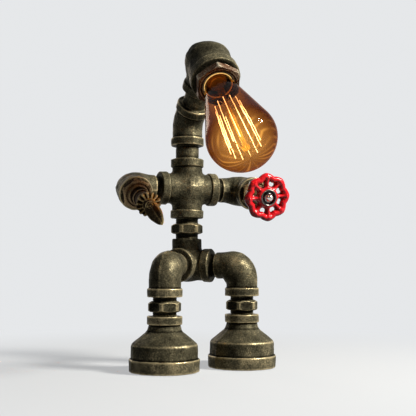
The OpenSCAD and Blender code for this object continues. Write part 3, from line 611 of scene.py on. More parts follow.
def fanned(outline, fillet, outer, bend, start, seam):
    """An outline (radius, distance) carried round a cast bend, and its wear along the seam.

    The path runs straight to the bend, fans through the bend's angle about the centre of its inner
    fillet, and runs straight on. In the fan, a section reaches from the fillet out to the outer
    skin, which is two straight lines joined by an arc of radius outer, so a section there is an
    ellipse whose half-width is (far - fillet) / 2. An outline radius r scales the section by
    r / fan_r. start is the path's length before the bend's corner. The first leg lies along -X,
    and the second along +Z for a bend of 90 degrees. The seam is a ridge, seam high, that falls
    off as exp(-(distance / 1.1)^4).
    """
    half = bend / 2
    straight = 2 * fan_r + fillet
    middle = fan_r + fillet
    flat = middle * math.tan(half)
    hub = (straight - outer) / math.cos(half)
    arc_ends = math.atan2(outer * math.sin(half), hub + outer * math.cos(half))
    fan_length = middle * bend
    s = outline[:, 1]
    lead = start - flat
    angle = np.clip((s - lead) / fan_length, 0, 1) * bend
    lean = angle - half
    arc_far = hub * np.cos(lean) + np.sqrt(np.maximum(outer ** 2 - (hub * np.sin(lean)) ** 2, 0))
    line_far = straight / np.cos(half - np.abs(lean))
    far = np.where(np.abs(lean) < arc_ends, np.minimum(arc_far, line_far), line_far)
    # outwards from the pivot, in the XZ plane: straight down at the first leg's end of the fan
    out = np.stack([np.sin(angle), 0 * angle, -np.cos(angle)], 1)
    before = np.minimum(s - lead, 0)
    after = np.maximum(s - lead - fan_length, 0)
    ahead = np.array([math.cos(bend), 0, math.sin(bend)])
    centre = np.array([-flat, 0, middle]) + out * ((far + fillet) / 2)[:, None]
    centre = centre + before[:, None] * np.array([1.0, 0, 0]) + after[:, None] * ahead
    t = around(fan_columns)[None, :]
    r = outline[:, :1]
    scale = r / fan_r
    ridge = seam * np.exp(-(np.sin(t) * r / 1.1) ** 4) * (r > 11.3)
    inward = (((far - fillet) / 2)[:, None] * scale + ridge) * np.cos(t)
    sideways = fan_r * scale * np.sin(t)
    grid = centre[:, None, :] + inward[..., None] * out[:, None, :]
    return grid + sideways[..., None] * np.array([0, 1.0, 0]), 0.5 * ridge / seam


elbow_reach = 28.4
street_reach = 30.0
male_end = street_reach + thread_in
fan_fillet = 4.0
fan_flat = fan_r + fan_fillet
mouth = (male_end - fan_flat) + fan_flat * math.pi / 2 + (elbow_reach - fan_flat)
thin_start = thread_in + 0.2
thin_end = 18.0
elbow_outline, elbow_wear = rounded([
    (thread_r, 0.0, 0.5), (thread_r, thin_start, 0.1), (nipple_neck_r, thin_start, 0.3),
    (nipple_neck_r, thin_end, 0.2), (12.0, thin_end, 0.7), (12.2, 25.0, 2.0), (body_r, 35.0, 3.0),
    *banded_mouth(mouth, 1, 0.1), (way_r, 0.0, 0.3),
])
# mouth towards +Z and male end towards -X
grid, seam_wear = fanned(elbow_outline, fan_fillet, 26.5, math.pi / 2, male_end, 0.35)
r, along = elbow_outline.T
# painted shade: the neck beside the male thread is darkened for the shadow in the gap between the elbow and the
# fitting it enters
painted_shade_neck = (along > thin_start) & (along < thin_end - 0.4) & (r > 10.5)
worn = banded_wear(elbow_outline, elbow_wear, [(15.2, mouth - 9, mouth + 1)]) - 0.7 * painted_shade_neck
elbow_grid, elbow_worn = cast(grid), worn[:, None] + 0.7 * seam_wear

hip_height = foot_height + ankle_gap + elbow_reach


def at_leg_elbow(side):
    """In the middle of a leg's elbow, with its mouth down and its male end towards the hip."""
    return at_foot(side) @ move(0, 0, hip_height) @ turn(180, "X")


shoulder = {"left": joint_place("left_shoulder"), "right": joint_place("right_shoulder")}
arm_drop = {"left": 18.0, "right": 10.5}


def at_arm(side):
    """In the middle of an arm's elbow; +Z points out of its mouth, and +X the handwheel's way."""
    return move(*shoulder[side]) @ turn(90 + arm_drop[side], "X")


for side, turned_by in (("left", 180), ("right", 0)):
    piece(elbow_grid, elbow_worn, at_leg_elbow(side), iron, "stand", side + "_leg_elbow")
    piece(elbow_grid, elbow_worn, at_arm(side) @ turn(turned_by, "Z"), iron,
          side + "_arm", side + "_arm_elbow")

# ---- Hip and torso -----------------------------------------------------------------------------
# Branched castings: the hip has a plain collar up and two banded mouths, 90 degrees apart, and the
# torso is a cross of four banded mouths. Their branches run into each other in soft saddles.


def smooth_least(a, b, soft):
    """The lesser of two distances, blended over the given width: min(a, b) - h^2 soft / 4."""
    h = np.maximum(soft - np.abs(a - b), 0) / soft
    return np.minimum(a, b) - h * h * soft / 4


def smooth_most(a, b, soft):
    """The greater of two distances, blended over the given width."""
    return -smooth_least(-a, -b, soft)


def how_far(points):
    """How far each point lies from the origin."""
    return np.linalg.norm(points, axis=-1)


def rod(points, way, r, low, high, soft=0.6):
    """Distance to a rod of radius r along a direction, from low to high, with softened rims."""
    along = points @ way
    off = how_far(points - along[..., None] * way)
    return smooth_most(off - r, np.maximum(low - along, along - high), soft)


band_wide = 7.5
bore_depth = 9.0


def banded(points, way, reach):
    """Distance to a branch with a band round its mouth."""
    band = rod(points, way, band_r, reach - band_wide, reach, 0.9)
    return smooth_least(rod(points, way, body_r, 0, reach), band, 0.8)


def bored(points, way, reach):
    """Distance to a branch's threaded bore and the way behind it."""
    bore = rod(points, way, bore_r, reach - bore_depth, reach + 2, 0.1)
    return np.minimum(rod(points, way, way_r, 0, reach + 2, 0.1), bore)


band_least = 15.1                                  # radius beyond which a point is on a band


def slope_of(distance, points, probe=0.05):
    """How a distance grows along X, Y and Z, from steps of one probe each way."""
    steps = np.eye(3) * probe
    rise = [(distance(points + d) - distance(points - d)) / (2 * probe) for d in steps]
    return np.stack(rise, -1)


def skin(distance, low, high, step=0.6):
    """The surface where distance() is zero, as points and four-cornered faces.

    A grid of points fills the box. Each cell that the surface crosses gets one point, moved on to
    the surface by steps of -distance / |slope|^2 times the slope, and each grid edge that it
    crosses gets the face between the four cells round that edge.
    """
    axes = [np.arange(a, b + step, step) for a, b in zip(low, high)]
    corner = np.stack(np.meshgrid(*axes, indexing="ij"), -1)
    inside = distance(corner) < 0
    rows, columns, layers = np.array(inside.shape) - 1
    counts = np.zeros((rows, columns, layers), int)
    for i, j, k in np.ndindex(2, 2, 2):
        counts += inside[i:rows + i, j:columns + j, k:layers + k]
    crossed = (counts > 0) & (counts < 8)
    number = np.full(crossed.shape, -1)
    number[crossed] = np.arange(crossed.sum())
    points = corner[:-1, :-1, :-1][crossed] + step / 2
    for _ in range(5):
        here = distance(points)
        slope = slope_of(distance, points)
        points = points - (here / np.maximum((slope ** 2).sum(-1), 0.2))[:, None] * slope
    faces = []
    for axis in range(3):
        here = np.moveaxis(inside, axis, 0)
        change = here[1:] != here[:-1]
        at = np.argwhere(change[:, 1:-1, 1:-1]) + np.array([0, 1, 1])
        out = here[:-1][tuple(at.T)]
        moved = np.moveaxis(number, axis, 0)
        cells = ((0, 0), (1, 0), (1, 1), (0, 1))
        quad = np.stack([moved[at[:, 0], at[:, 1] - a, at[:, 2] - b] for a, b in cells], 1)
        flip = out if axis != 1 else ~out          # cells go the other way round edges along Y
        quad[flip] = quad[flip][:, ::-1]
        faces.append(quad)
    return points, np.vstack(faces)


def skinned(points, faces, wear, place, finish, body, node):
    """One piece from a skin, turned the right way out and moved to its place."""
    if volume(points, faces) < 0:
        faces = faces[:, ::-1]
    make_piece(placed(points, place), faces, np.zeros((0, 3), int), wear, finish, body, node)


def curvature_wear(distance, points):
    """Wear from the bend of the surface: the mean distance 0.8 mm away along six directions, less
    the distance here. It is positive where the surface bulges out and negative in a hollow."""
    reach = 0.8
    near = sum(distance(points + d) + distance(points - d) for d in np.eye(3) * reach) / 6
    return np.clip((near - distance(points)) / reach * 2.2 - 0.12, -1, 1)


def branched(distance, low, high, place, body, node, bands, step=0.6):
    """A casting made as the skin of a distance, with its wear from the skin's bend.

    bands gives each branch's direction, its band's least radius, and where that band starts.
    """
    points, faces = skin(distance, low, high, step)
    slope = slope_of(distance, points)
    slope /= np.maximum(how_far(slope)[:, None], 1e-6)
    wear = curvature_wear(distance, points)
    for way, beyond, start in bands:
        along = points @ way
        off = how_far(points - along[:, None] * way)
        wear = wear + band_polish * ((along > start) & (off > beyond))
    points = points + slope * lumps(points, cast_rise, cast_wave)[:, None]
    skinned(points, faces, wear, place, iron, body, node)


hip_reach = 25.5
up = np.array([0.0, 0.0, 1.0])
hip_ways = [np.array([math.sin(a), -math.cos(a), 0.0]) for a in (-math.pi / 4, math.pi / 4)]


def hip_distance(points):
    """Three branches blended into each other round a ball, less their bores and a round hollow."""
    body = smooth_least(rod(points, up, 14.2, 0, hip_reach, 1.2), how_far(points) - 14.8, 2.0)
    holes = np.minimum(how_far(points) - 11.0, bored(points, up, hip_reach))
    for way in hip_ways:
        body = smooth_least(body, banded(points, way, hip_reach), 3.5)
        holes = np.minimum(holes, bored(points, way, hip_reach))
    return smooth_most(body, -holes, 0.3)


hip_place = at_axis @ move(0, 0, hip_height) @ turn(5, "Z")
branched(hip_distance, (-33, -33, -19), (33, 19, 29), hip_place, "stand", "hip_elbow",
         [(way, band_least, hip_reach - 8) for way in hip_ways])

cross_reach = 28.6
cross_ways = [np.array(way, float) for way in ((1, 0, 0), (-1, 0, 0), (0, 0, 1), (0, 0, -1))]


def cross_distance(points):
    """Four branches in one plane, blended in soft saddles, less their bores."""
    body, holes = np.inf, np.inf
    for way in cross_ways:
        body = smooth_least(body, banded(points, way, cross_reach), 4.5)
        holes = np.minimum(holes, bored(points, way, cross_reach))
    return smooth_most(body, -holes, 0.3)


cross_place = at_axis @ move(0, 0, waist[2] + cross_reach)
branched(cross_distance, (-31, -19, -31), (31, 19, 31), cross_place, "torso", "torso_cross",
         [(way, band_least, cross_reach - 8) for way in cross_ways])

# ---- Neck --------------------------------------------------------------------------------------
# A plain nipple joins the cross to a 45 degree elbow, and another one joins that to the head. They
# are threaded tubes, and their threads run out just outside the mouths that they are screwed into.

neck = joint_place("neck_swivel")
neck_reach = 22.4
head_gap = 15.2
head_heading = 3.0
head_twist = -2.5
head_angle = 91.0
at_neck = at_axis @ move(0, 0, neck[2] + neck_reach) @ turn(head_heading, "Z")
at_head = at_neck @ turn(45, "X")


def plain_nipple(gap, place, body, node):
    """A threaded tube standing on a fitting's face, with the thread's run-out at both ends."""
    tube_r = 11.2

    def radius(r, z, t):
        run_out = ((z > 0.4) & (z < 2.6)) | ((z > gap - 2.6) & (z < gap - 0.4))
        return np.where(run_out & (r > 11), thread(r, z, t, 0.35), r)

    grid, worn = lathed([
        (way_r, -thread_in, 0.3), (thread_r, -thread_in, 0.5), (thread_r, 0.3, 0.1),
        (tube_r, 0.3, 0.3), (tube_r, gap - 0.3, 0.3), (thread_r, gap - 0.3, 0.1),
        (thread_r, gap + thread_in, 0.5), (way_r, gap + thread_in, 0.3),
    ], 0.45, 112, radius)
    # painted shade: the tube darkens towards both mouths for the shadow where it enters the fittings
    near_mouth = np.minimum(np.abs(grid[..., 2]), np.abs(grid[..., 2] - gap))
    worn = worn - 0.7 * np.exp(-(near_mouth / 2.2) ** 2)
    piece(cast(grid, 0.05, 6.0), worn, place, iron, body, node)


neck_gap = 13.3
plain_nipple(neck_gap, at_axis @ move(0, 0, neck[2] - neck_gap), "torso", "neck_nipple")
plain_nipple(head_gap, at_head @ move(0, 0, neck_reach), "neck", "head_nipple")

# The 45 degree elbow's path starts at its lower mouth and ends at its upper one.
neck_fillet = 6.0
neck_fan = (fan_r + neck_fillet) * math.pi / 4
neck_flat = (fan_r + neck_fillet) * math.tan(math.pi / 8)
neck_path = 2 * (neck_reach - neck_flat) + neck_fan
neck_outline, neck_wear = rounded(banded_mouth(neck_path, 1) + banded_mouth(0.0, -1)[::-1])
grid, seam_wear = fanned(neck_outline, neck_fillet, 26.0, math.pi / 4, neck_reach, 0.3)
# The bend is laid out from -X to a direction 45 degrees above +X, so it is stood on its first end:
# its own +X becomes up and its own +Z becomes forward.
stand_up = np.eye(4)
stand_up[:3, :3] = np.array([[0, 1.0, 0], [0, 0, -1.0], [1.0, 0, 0]])
piece(cast(grid), neck_wear[:, None] + 0.5 * seam_wear, at_neck @ stand_up, iron,
      "neck", "neck_elbow")

# ---- Head --------------------------------------------------------------------------------------
# A one-inch by half-inch reducing elbow with a round crown. A brass hexagon bushing is screwed into
# its large mouth, and clamps the lamp holder inside.

head_inlet = 32.0
head_outlet = 29.5
head_axis = neck_reach + head_gap + head_inlet
at_lamp = at_head @ move(0, 0, head_axis) @ turn(head_twist, "Z") @ turn(head_angle, "X")
to_neck = np.array([0.0, -1.0, 0.0])
out_of_face = np.array([0.0, 0.0, 1.0])
head_ball_r = 21.5
head_mouth_r = 21.0
head_band_r = 23.0
head_band_wide = 9.0
head_thread_r = 15.9


def head_distance(points):
    """A ball and a wide branch, blended into the narrow branch to the neck, less the hollow.

    The ball is squat: a plane 19.3 mm out on the line that halves the elbow's outer corner cuts it,
    blended over 7 mm. The narrow branch tapers from 20 mm to the body's radius.
    """
    ball = how_far(points) - head_ball_r
    ball = smooth_most(ball, (points[..., 1] - points[..., 2]) / math.sqrt(2) - 19.3, 7.0)
    body = smooth_least(ball, rod(points, out_of_face, head_mouth_r, 0, head_outlet, 1.0), 1.5)
    band = rod(points, out_of_face, head_band_r, head_outlet - head_band_wide, head_outlet, 1.3)
    body = smooth_least(body, band, 1.0)
    along = points @ to_neck
    off = how_far(points - along[..., None] * to_neck)
    taper = 20.0 - (20.0 - body_r) * np.clip(along / 24.0, 0, 1)
    arm = smooth_most(off - taper, np.maximum(-along, along - head_inlet), 0.8)
    band = rod(points, to_neck, band_r, head_inlet - band_wide, head_inlet, 0.9)
    body = smooth_least(body, smooth_least(arm, band, 0.8), 3.0)
    holes = np.minimum(bored(points, to_neck, head_inlet), how_far(points) - 12.0)
    bore = rod(points, out_of_face, head_thread_r + 0.05, 4.0, head_outlet + 2, 0.1)
    return smooth_most(body, -np.minimum(holes, bore), 0.3)


branched(head_distance, (-25, -34, -24), (25, 24, 32), at_lamp, "head", "head_elbow",
         [(out_of_face, 22.0, head_outlet - 9.5), (to_neck, band_least, head_inlet - 8)], 0.65)

reddish = bronzed_iron("browned brass", (0.1, 0.045, 0.024), (0.46, 0.42, 0.31), 0.25, 0.4, 0.6)
hex_back = head_outlet + 3.3
hex_front = hex_back + 7.0
corner_r = 21.9
hex_across = 38.0
hex_turn = 18.0
hex_thread = [(hex_back - 5, hex_back - 0.2)]
grid, worn = hexagonal([
    (14.6, 18.0, 0.2), (head_thread_r, 18.0, 0.3), (head_thread_r, hex_back, 0.2),
    (19.5, hex_back, 0.4), (corner_r, hex_back + 0.9, 0.5), (corner_r, hex_front - 0.9, 0.5),
    (19.6, hex_front, 0.5), (16.9, hex_front, 0.3), (16.4, hex_front - 1.0, 0.2),
    (15.6, hex_front - 1.2, 0.4), (14.9, hex_front - 0.3, 0.3), (14.6, hex_front - 1.0, 0.3),
], 0.5, 192, hex_across, hex_back, hex_front, hex_turn, hex_thread, 0.01)
# painted shade: the thread behind the hexagon is darkened for the shadow under the elbow's band, and the flats are
# rubbed
r, z = np.hypot(grid[..., 0], grid[..., 1]), grid[..., 2]
worn = worn - 0.7 * (z < hex_back - 0.1)
worn = worn + 0.6 * ((z > hex_back + 0.5) & (z < hex_front - 0.5) & (r > 18.5))
piece(grid, worn, at_lamp, reddish, "head", "head_bushing")

# ---- Bulb --------------------------------------------------------------------------------------
# A pear-shaped bulb of amber glass with a brass screw cap. Inside, a glass stem carries two rings
# of hooks, and the filament runs up and down between them like the bars of a cage.

axis_r = 0.02                                      # where an outline meets the axis
bulb_r = 30.0
bulb_neck_r = 12.3
globe_at = hex_front + 75.0
glass_end = 28.8


def pear(less):
    """The bulb's outline as (radius, height) from cap to tip, shrunk by less.

    The globe is half an ellipse in front and half another behind. A cone runs from the neck and
    touches the hinder one at the angle atan(neck / away) + acos(globe / hypot(neck, away)) from the
    axis, where away is the neck's distance with that ellipse stretched to a circle. The root of a
    sum of squares rounds the corner between neck and cone.
    """
    globe, front, back = bulb_r - less, 27.6 - less, 28.4 - less
    neck_r = bulb_neck_r - less
    flare_at = hex_front - 2.0
    away = (globe_at - flare_at) * globe / back
    touch = math.atan2(neck_r, away) + math.acos(globe / math.hypot(neck_r, away))
    join, join_r = globe_at - back * math.cos(touch), globe * math.sin(touch)
    neck_z = np.linspace(glass_end + less, flare_at - 4, 8)
    z = np.concatenate([neck_z, np.linspace(flare_at - 3, join, 44)[:-1]])
    cone = (join_r - neck_r) * (z - flare_at) / (join - flare_at)
    r = neck_r + (cone + np.sqrt(cone ** 2 + 0.5)) / 2
    a = np.linspace(touch - math.pi / 2, math.pi / 2, 60)
    top = np.stack([globe * np.cos(a), globe_at + np.where(a > 0, front, back) * np.sin(a)], 1)
    top[-1, 0] = axis_r
    return np.vstack([np.stack([r, z], 1), top])


def tinted_glass():
    """Amber blown glass: clear, smooth and slightly uneven, deeper where it is seen edge on.

    Where the wear attribute is positive it gets a painted reflection of the filament's gold, drawn
    with emission, and where it is negative, near the neck, the tint is thin.
    """
    finish, tree = new_finish("amber glass")
    waves = noise(tree, 45.0, 1.0)
    tint = ramped(tree, waves, (0.0, (0.78, 0.46, 0.18)), (1.0, (0.9, 0.63, 0.31)))
    rim = add(tree, "LayerWeight", {"Blend": 0.68}).outputs["Facing"]
    worn = wear_and_painted_light_of(tree)
    edge_on = maths(tree, "MULTIPLY", rim, mapped(tree, worn, -1.0, 0.0, 0.1, 1.0))
    return finished(finish, {
        "Base Color": mixed(tree, edge_on, tint, (0.2, 0.035, 0.006, 1.0)),
        "Roughness": 0.01, "IOR": 1.01, "Transmission Weight": 1.0,
        "Coat Weight": 0.1, "Coat Roughness": 0.01,
        # painted reflection: emission in the filament's gold where the wear attribute is positive
        "Emission Color": ramped(tree, worn, (0.0, (0.0, 0.0, 0.0)), (1.0, (1.0, 0.6, 0.16))),
        "Emission Strength": 0.8,
        "Normal": bumped(tree, waves, 0.08, 0.0005),
    })


amber = tinted_glass()
outer, inner = pear(0.0), pear(0.9)
bulb_outline = np.vstack([outer, inner[::-1]])
# painted reflection: thin golden streaks, drawn with emission, swirl down the inside of the globe
# where the glass would mirror the filament, and fade at its very tip:
# (1/2 + 1/2 cos(18 (t - 0.9 low) + 2 sin 3t))^5 (0.55 + 0.45 cos(5t + 6 low))
bulb_columns = 192
r, z = bulb_outline[:, :1], bulb_outline[:, 1:]
low = np.clip((z - globe_at) / 18.0, 0, 1)
t = around(bulb_columns)[None, :]
streak = (0.5 + 0.5 * np.cos(18 * (t - 0.9 * low) + 2 * np.sin(3 * t))) ** 5
streak = streak * (0.55 + 0.45 * np.cos(5 * t + 6 * low))
inside = np.arange(len(bulb_outline))[:, None] >= len(outer)
painted_reflection = (0.15 + 0.85 * streak) * low * inside * (1 - 0.8 * np.exp(-(r / 10.0) ** 2))
bareness = np.clip((hex_front + 26.0 - z) / 16.0, 0, 1)
piece(revolved(bulb_outline, bulb_columns), painted_reflection - bareness, at_lamp, amber,
      "bulb", "bulb_glass")


def plain_metal(name, colour, roughness, streaks=300.0, glow=0.0):
    """Turned or drawn metal: one colour with fine streaks and a slight change of gloss.

    The glow is painted light: emission where the wear is 1, standing in for the light that the filament next to it
    throws on the brass.
    """
    finish, tree = new_finish(name)
    haze = noise(tree, streaks, 4.0, 0.65)
    shade = ramped(tree, haze, (0.3, 0.55 * np.array(colour)), (0.65, colour))
    return finished(finish, {
        "Base Color": shade, "Metallic": 1.0,
        "Roughness": mapped(tree, haze, 0.0, 1.0, roughness + 0.12, roughness - 0.08),
        "Emission Color": mixed(tree, wear_and_painted_light_of(tree), (0.0, 0.0, 0.0, 1.0), shade),
        "Emission Strength": glow,
        "Normal": bumped(tree, haze, 0.2, 0.0001),
    })


bright_brass = plain_metal("bright brass", (0.83, 0.6, 0.25), 0.3)
cap_back = 14.5
cap_front = hex_front - 1.0
cap_outline = rounded([
    (12.35, cap_back, 0.1), (12.5, cap_back, 0.1), (12.9, cap_back + 0.6, 0.2),
    (12.9, cap_front - 1.2, 0.4), (13.3, cap_front - 0.6, 0.3), (13.3, cap_front, 0.3),
    (12.6, cap_front + 0.1, 0.2), (12.35, cap_front - 2.5, 0.1),
], step=0.4)[0]


def cap_thread(r, z, t):
    """The cap's rolled thread: a sine of 3.6 mm pitch, 0.35 mm deep, behind its flared lip."""
    turns = 0.5 + 0.5 * np.sin(2 * np.pi * z / 3.6 - t)
    return r - 0.35 * turns * ((r > 12.45) & (z < cap_front - 2))


# painted glow: the cap's lip gets emission that stands in for the filament's light on it
painted_glow_brass = plain_metal("brass beside the filament", (0.8, 0.5, 0.16), 0.3, glow=1.1)
lip = 1.0 * (cap_outline[:, 1:] > cap_front - 1.0)
piece(revolved(cap_outline, 96, cap_thread), lip, at_lamp, painted_glow_brass,
      "bulb", "bulb_cap")


def wire(path, radius):
    """A round section carried along a path in the XZ plane: at each point, a circle across the
    path's direction."""
    along = np.gradient(path, axis=0)
    along /= np.linalg.norm(along, axis=1, keepdims=True)
    side = np.cross(along, np.array([0, 1.0, 0]))[:, None, :]
    t = around(8)[None, :, None]
    return path[:, None, :] + radius * (np.cos(t) * side + np.sin(t) * np.array([0, 1.0, 0]))


upper_hooks = hex_front + 30.0
lower_hooks = globe_at + 13.0
cage_top_r = 11.2
cage_low_r = 13.2
filament_runs = 12
stem_r = 2.0

clear, tree = new_finish("clear glass")
# painted glow: emission makes the rod between the strands look lit by them, and the flare behind it gets next to
# none
painted_stem_glow = ramped(tree, wear_and_painted_light_of(tree), (0.0, (0.03, 0.015, 0.004)), (1.0, (1.0, 0.6, 0.15)))
finished(clear, {
    "Base Color": (0.7, 0.42, 0.15, 1.0), "Roughness": 0.05, "IOR": 1.3, "Transmission Weight": 0.9,
    "Emission Color": painted_stem_glow, "Emission Strength": 0.55,
    "Normal": bumped(tree, noise(tree, 200.0), 0.2, 0.0004),
})

stem_outline = np.array([
    (axis_r, 31.0), (9.5, 31.0), (9.0, 33.0), (6.0, 38.0), (3.8, 42.0), (3.2, 46.0), (3.4, 49.0),
    (2.4, 52.0), (stem_r, 56.0), (stem_r, 70.0), (stem_r, 90.0), (stem_r, lower_hooks - 4),
    (3.4, lower_hooks - 1), (3.4, lower_hooks + 1), (stem_r, lower_hooks + 2.5),
    (axis_r, lower_hooks + 3),
])
# painted glow: the stem's emission rises from nothing at 60 mm to full at 90 mm
painted_stem_glow_mask = np.clip((stem_outline[:, 1:] - 60.0) / 30.0, 0, 1)
piece(revolved(stem_outline, 48), painted_stem_glow_mask, at_lamp, clear,
      "bulb", "bulb_stem", False)

hooks, strands = [], []
u = np.linspace(0, 1, 14)
v = np.linspace(0, 1, 40)
for run in range(filament_runs):
    place = at_lamp @ turn(run * 360 / filament_runs + 10, "Z")
    for height, ring, sag in ((upper_hooks, cage_top_r, -1.5), (lower_hooks, cage_low_r, 2.0)):
        hook = np.stack([stem_r + (ring - stem_r) * u, 0 * u, height + sag * np.sin(np.pi * u)], 1)
        hooks.append((placed(wire(hook, 0.3), place), 0.0, False))
    bow = 0.6 * np.sin(np.pi * v) + 0.15 * np.sin(9 * np.pi * v)
    out = cage_top_r + (cage_low_r - cage_top_r) * v + bow
    strand = np.stack([out, 0 * v, upper_hooks + (lower_hooks - upper_hooks) * v], 1)
    strands.append((placed(wire(strand, 0.28), place), 0.0, False))

steel = plain_metal("bright steel", (0.62, 0.61, 0.58), 0.3)
shell(hooks, steel, "bulb", "bulb_supports")

glow, tree = new_finish("glowing filament")
heat = ramped(tree, noise(tree, 60.0), (0.0, (1.0, 0.72, 0.42)), (1.0, (1.0, 0.95, 0.88)))
finished(glow, {
    "Base Color": (0.9, 0.6, 0.3, 1.0), "Roughness": 0.4,
    "Emission Color": heat, "Emission Strength": 8.0,
})
shell(strands, glow, "bulb", "bulb_filament")

# ---- Left hand ---------------------------------------------------------------------------------
# A small lever valve: a hexagon bushing in the arm's mouth, a turned body with a gland nut, a
# fluted brass crown on the spindle, and a leaf-shaped lever held on by a screw.


def at_hand(side):
    """On the face of an arm's mouth; +Z points out of it and +Y up."""
    return at_arm(side) @ move(0, 0, elbow_reach)


bushing_across = 26.0
hand_bore_r = 5.05
brown = bronzed_iron("brown brass", (0.085, 0.05, 0.026), (0.5, 0.36, 0.19), 0.26, 0.4, 0.5)


def hand_bushing(side, turned_by):
    """A reducing bushing: male thread inside the mouth, then a hexagon with a ringed face."""
    grid, worn = hexagonal([
        (hand_bore_r, -11.0, 0.2), (thread_r, -11.0, 0.4), (thread_r, 0.7, 0.2), (12.6, 0.8, 0.3),
        (14.5, 1.6, 0.5), (14.5, 4.6, 0.5), (12.8, 6.0, 0.5), (11.0, 6.0, 0.3), (10.6, 5.3, 0.3),
        (10.1, 5.3, 0.3), (9.7, 6.0, 0.3), (hand_bore_r, 6.0, 0.2),
    ], 0.45, 144, bushing_across, 0.8, 6.0, turned_by)
    piece(grid, worn, at_hand(side), brown, side + "_arm", side + "_hand_bushing")


hand_bushing("left", 12.0)

hub_reach = 38.0
nut_height = 4.5
valve_front = hub_reach - 0.3 - nut_height
grid, worn = lathed([
    (axis_r, -9.0, 0.1), (5.0, -9.0, 0.3), (5.0, 6.0, 0.2), (8.8, 6.0, 0.3), (9.4, 7.0, 0.5),
    (9.4, 9.2, 0.5), (8.6, 10.0, 0.4), (7.4, 10.6, 0.5), (6.8, 13.5, 1.0), (7.0, 17.0, 0.4),
    (8.1, 17.4, 0.4), (8.1, 19.4, 0.4), (7.0, 19.8, 0.4), (6.8, 25.0, 1.0),
    (7.7, valve_front - 5, 0.5), (7.7, valve_front - 3, 0.5), (5.6, valve_front - 2.4, 0.3),
    (5.6, valve_front, 0.2), (3.2, valve_front, 0.2), (3.2, 7.0, 0.2), (axis_r, 7.0, 0.1),
], 0.5, 112)
piece(grid, worn, at_hand("left"), brown, "left_arm", "valve_body")

handled = bronzed_iron("handled brass", (0.16, 0.1, 0.035), (1.0, 0.8, 0.42), 0.54, 0.32, 0.35)
nut_hole_r = 3.05
spindle_r = 2.95


def small_nut(across, height, base, side, node):
    """A hexagon nut with a chamfered front, standing at the given height on a hand."""
    corner_r, front_r, top = across * 0.562, across * 0.47, base + height
    grid, worn = hexagonal([
        (nut_hole_r, base, 0.2), (across / 2, base, 0.3), (corner_r, base + 0.5, 0.3),
        (corner_r, top - 0.9, 0.4), (front_r, top, 0.4), (nut_hole_r, top, 0.2),
    ], 0.4, 96, across, base, top, 15.0)
    piece(grid, worn, at_hand(side), handled, side + "_arm", node)


def spindle(low, high, place, body, node):
    """A plain turned rod with chamfered ends."""
    grid, worn = lathed([
        (axis_r, low, 0.1), (spindle_r, low, 0.5), (spindle_r, high, 0.5), (axis_r, high, 0.1),
    ], 0.6, 40)
    piece(grid, worn, place, steel, body, node)


small_nut(13.0, nut_height, valve_front, "left", "valve_gland_nut")
spindle(6.4, hub_reach + 1.9, at_hand("left"), "lever", "valve_spindle")

lever_lean = 38.0
at_lever = at_hand("left") @ move(0, 0, hub_reach) @ turn(lever_lean, "Z")
crown_outline, crown_wear = rounded([
    (1.7, 0.0, 0.2), (6.6, 0.0, 0.6), (9.8, 1.2, 0.8), (11.4, 2.8, 0.7), (10.6, 4.2, 0.8),
    (6.2, 5.4, 0.6), (4.0, 5.0, 0.3), (4.0, 7.0, 0.4), (1.7, 7.0, 0.2),
], step=0.35)
petals = 14
crown_columns = 14 * petals


def groove(t):
    """1 between two petals and 0 in the middle of one: |cos(petals t / 2)|^3."""
    return np.abs(np.cos(petals * t / 2)) ** 3


def outer_part(r):
    """0 at the crown's neck and 1 from 7.4 mm outwards."""
    return np.clip((r - 4.4) / 3.0, 0, 1)


def petalled(r, z, t):
    """The crown's radius, 1.1 mm less in the grooves between the petals."""
    return r - 1.1 * groove(t) * outer_part(r)


r, z = crown_outline[:, :1], crown_outline[:, 1:]
t = around(crown_columns)[None, :]
grid = revolved(crown_outline, crown_columns, petalled)
grid[..., 2] -= 1.7 * groove(t) * outer_part(r) * (z > 3.4)
# painted light and shade: petals on the side away from the leaf are painted brighter as if lit, and those on the
# leaf's side darker as if shaded
painted_lit_side = 1.0 / (1.0 + np.exp(-4.0 * (np.cos(t - 0.5) + 0.05)))
worn = crown_wear[:, None] * 0.4 + outer_part(r) * (1.3 * painted_lit_side - 0.45 - 1.7 * groove(t))
piece(grid, worn, at_lever, handled, "lever", "lever_hub")

lever_length = 21.5
leaf_base = 4.6
leaf_edge = 1.3
leaf_ridge = 3.6
leaf_root = 6.0


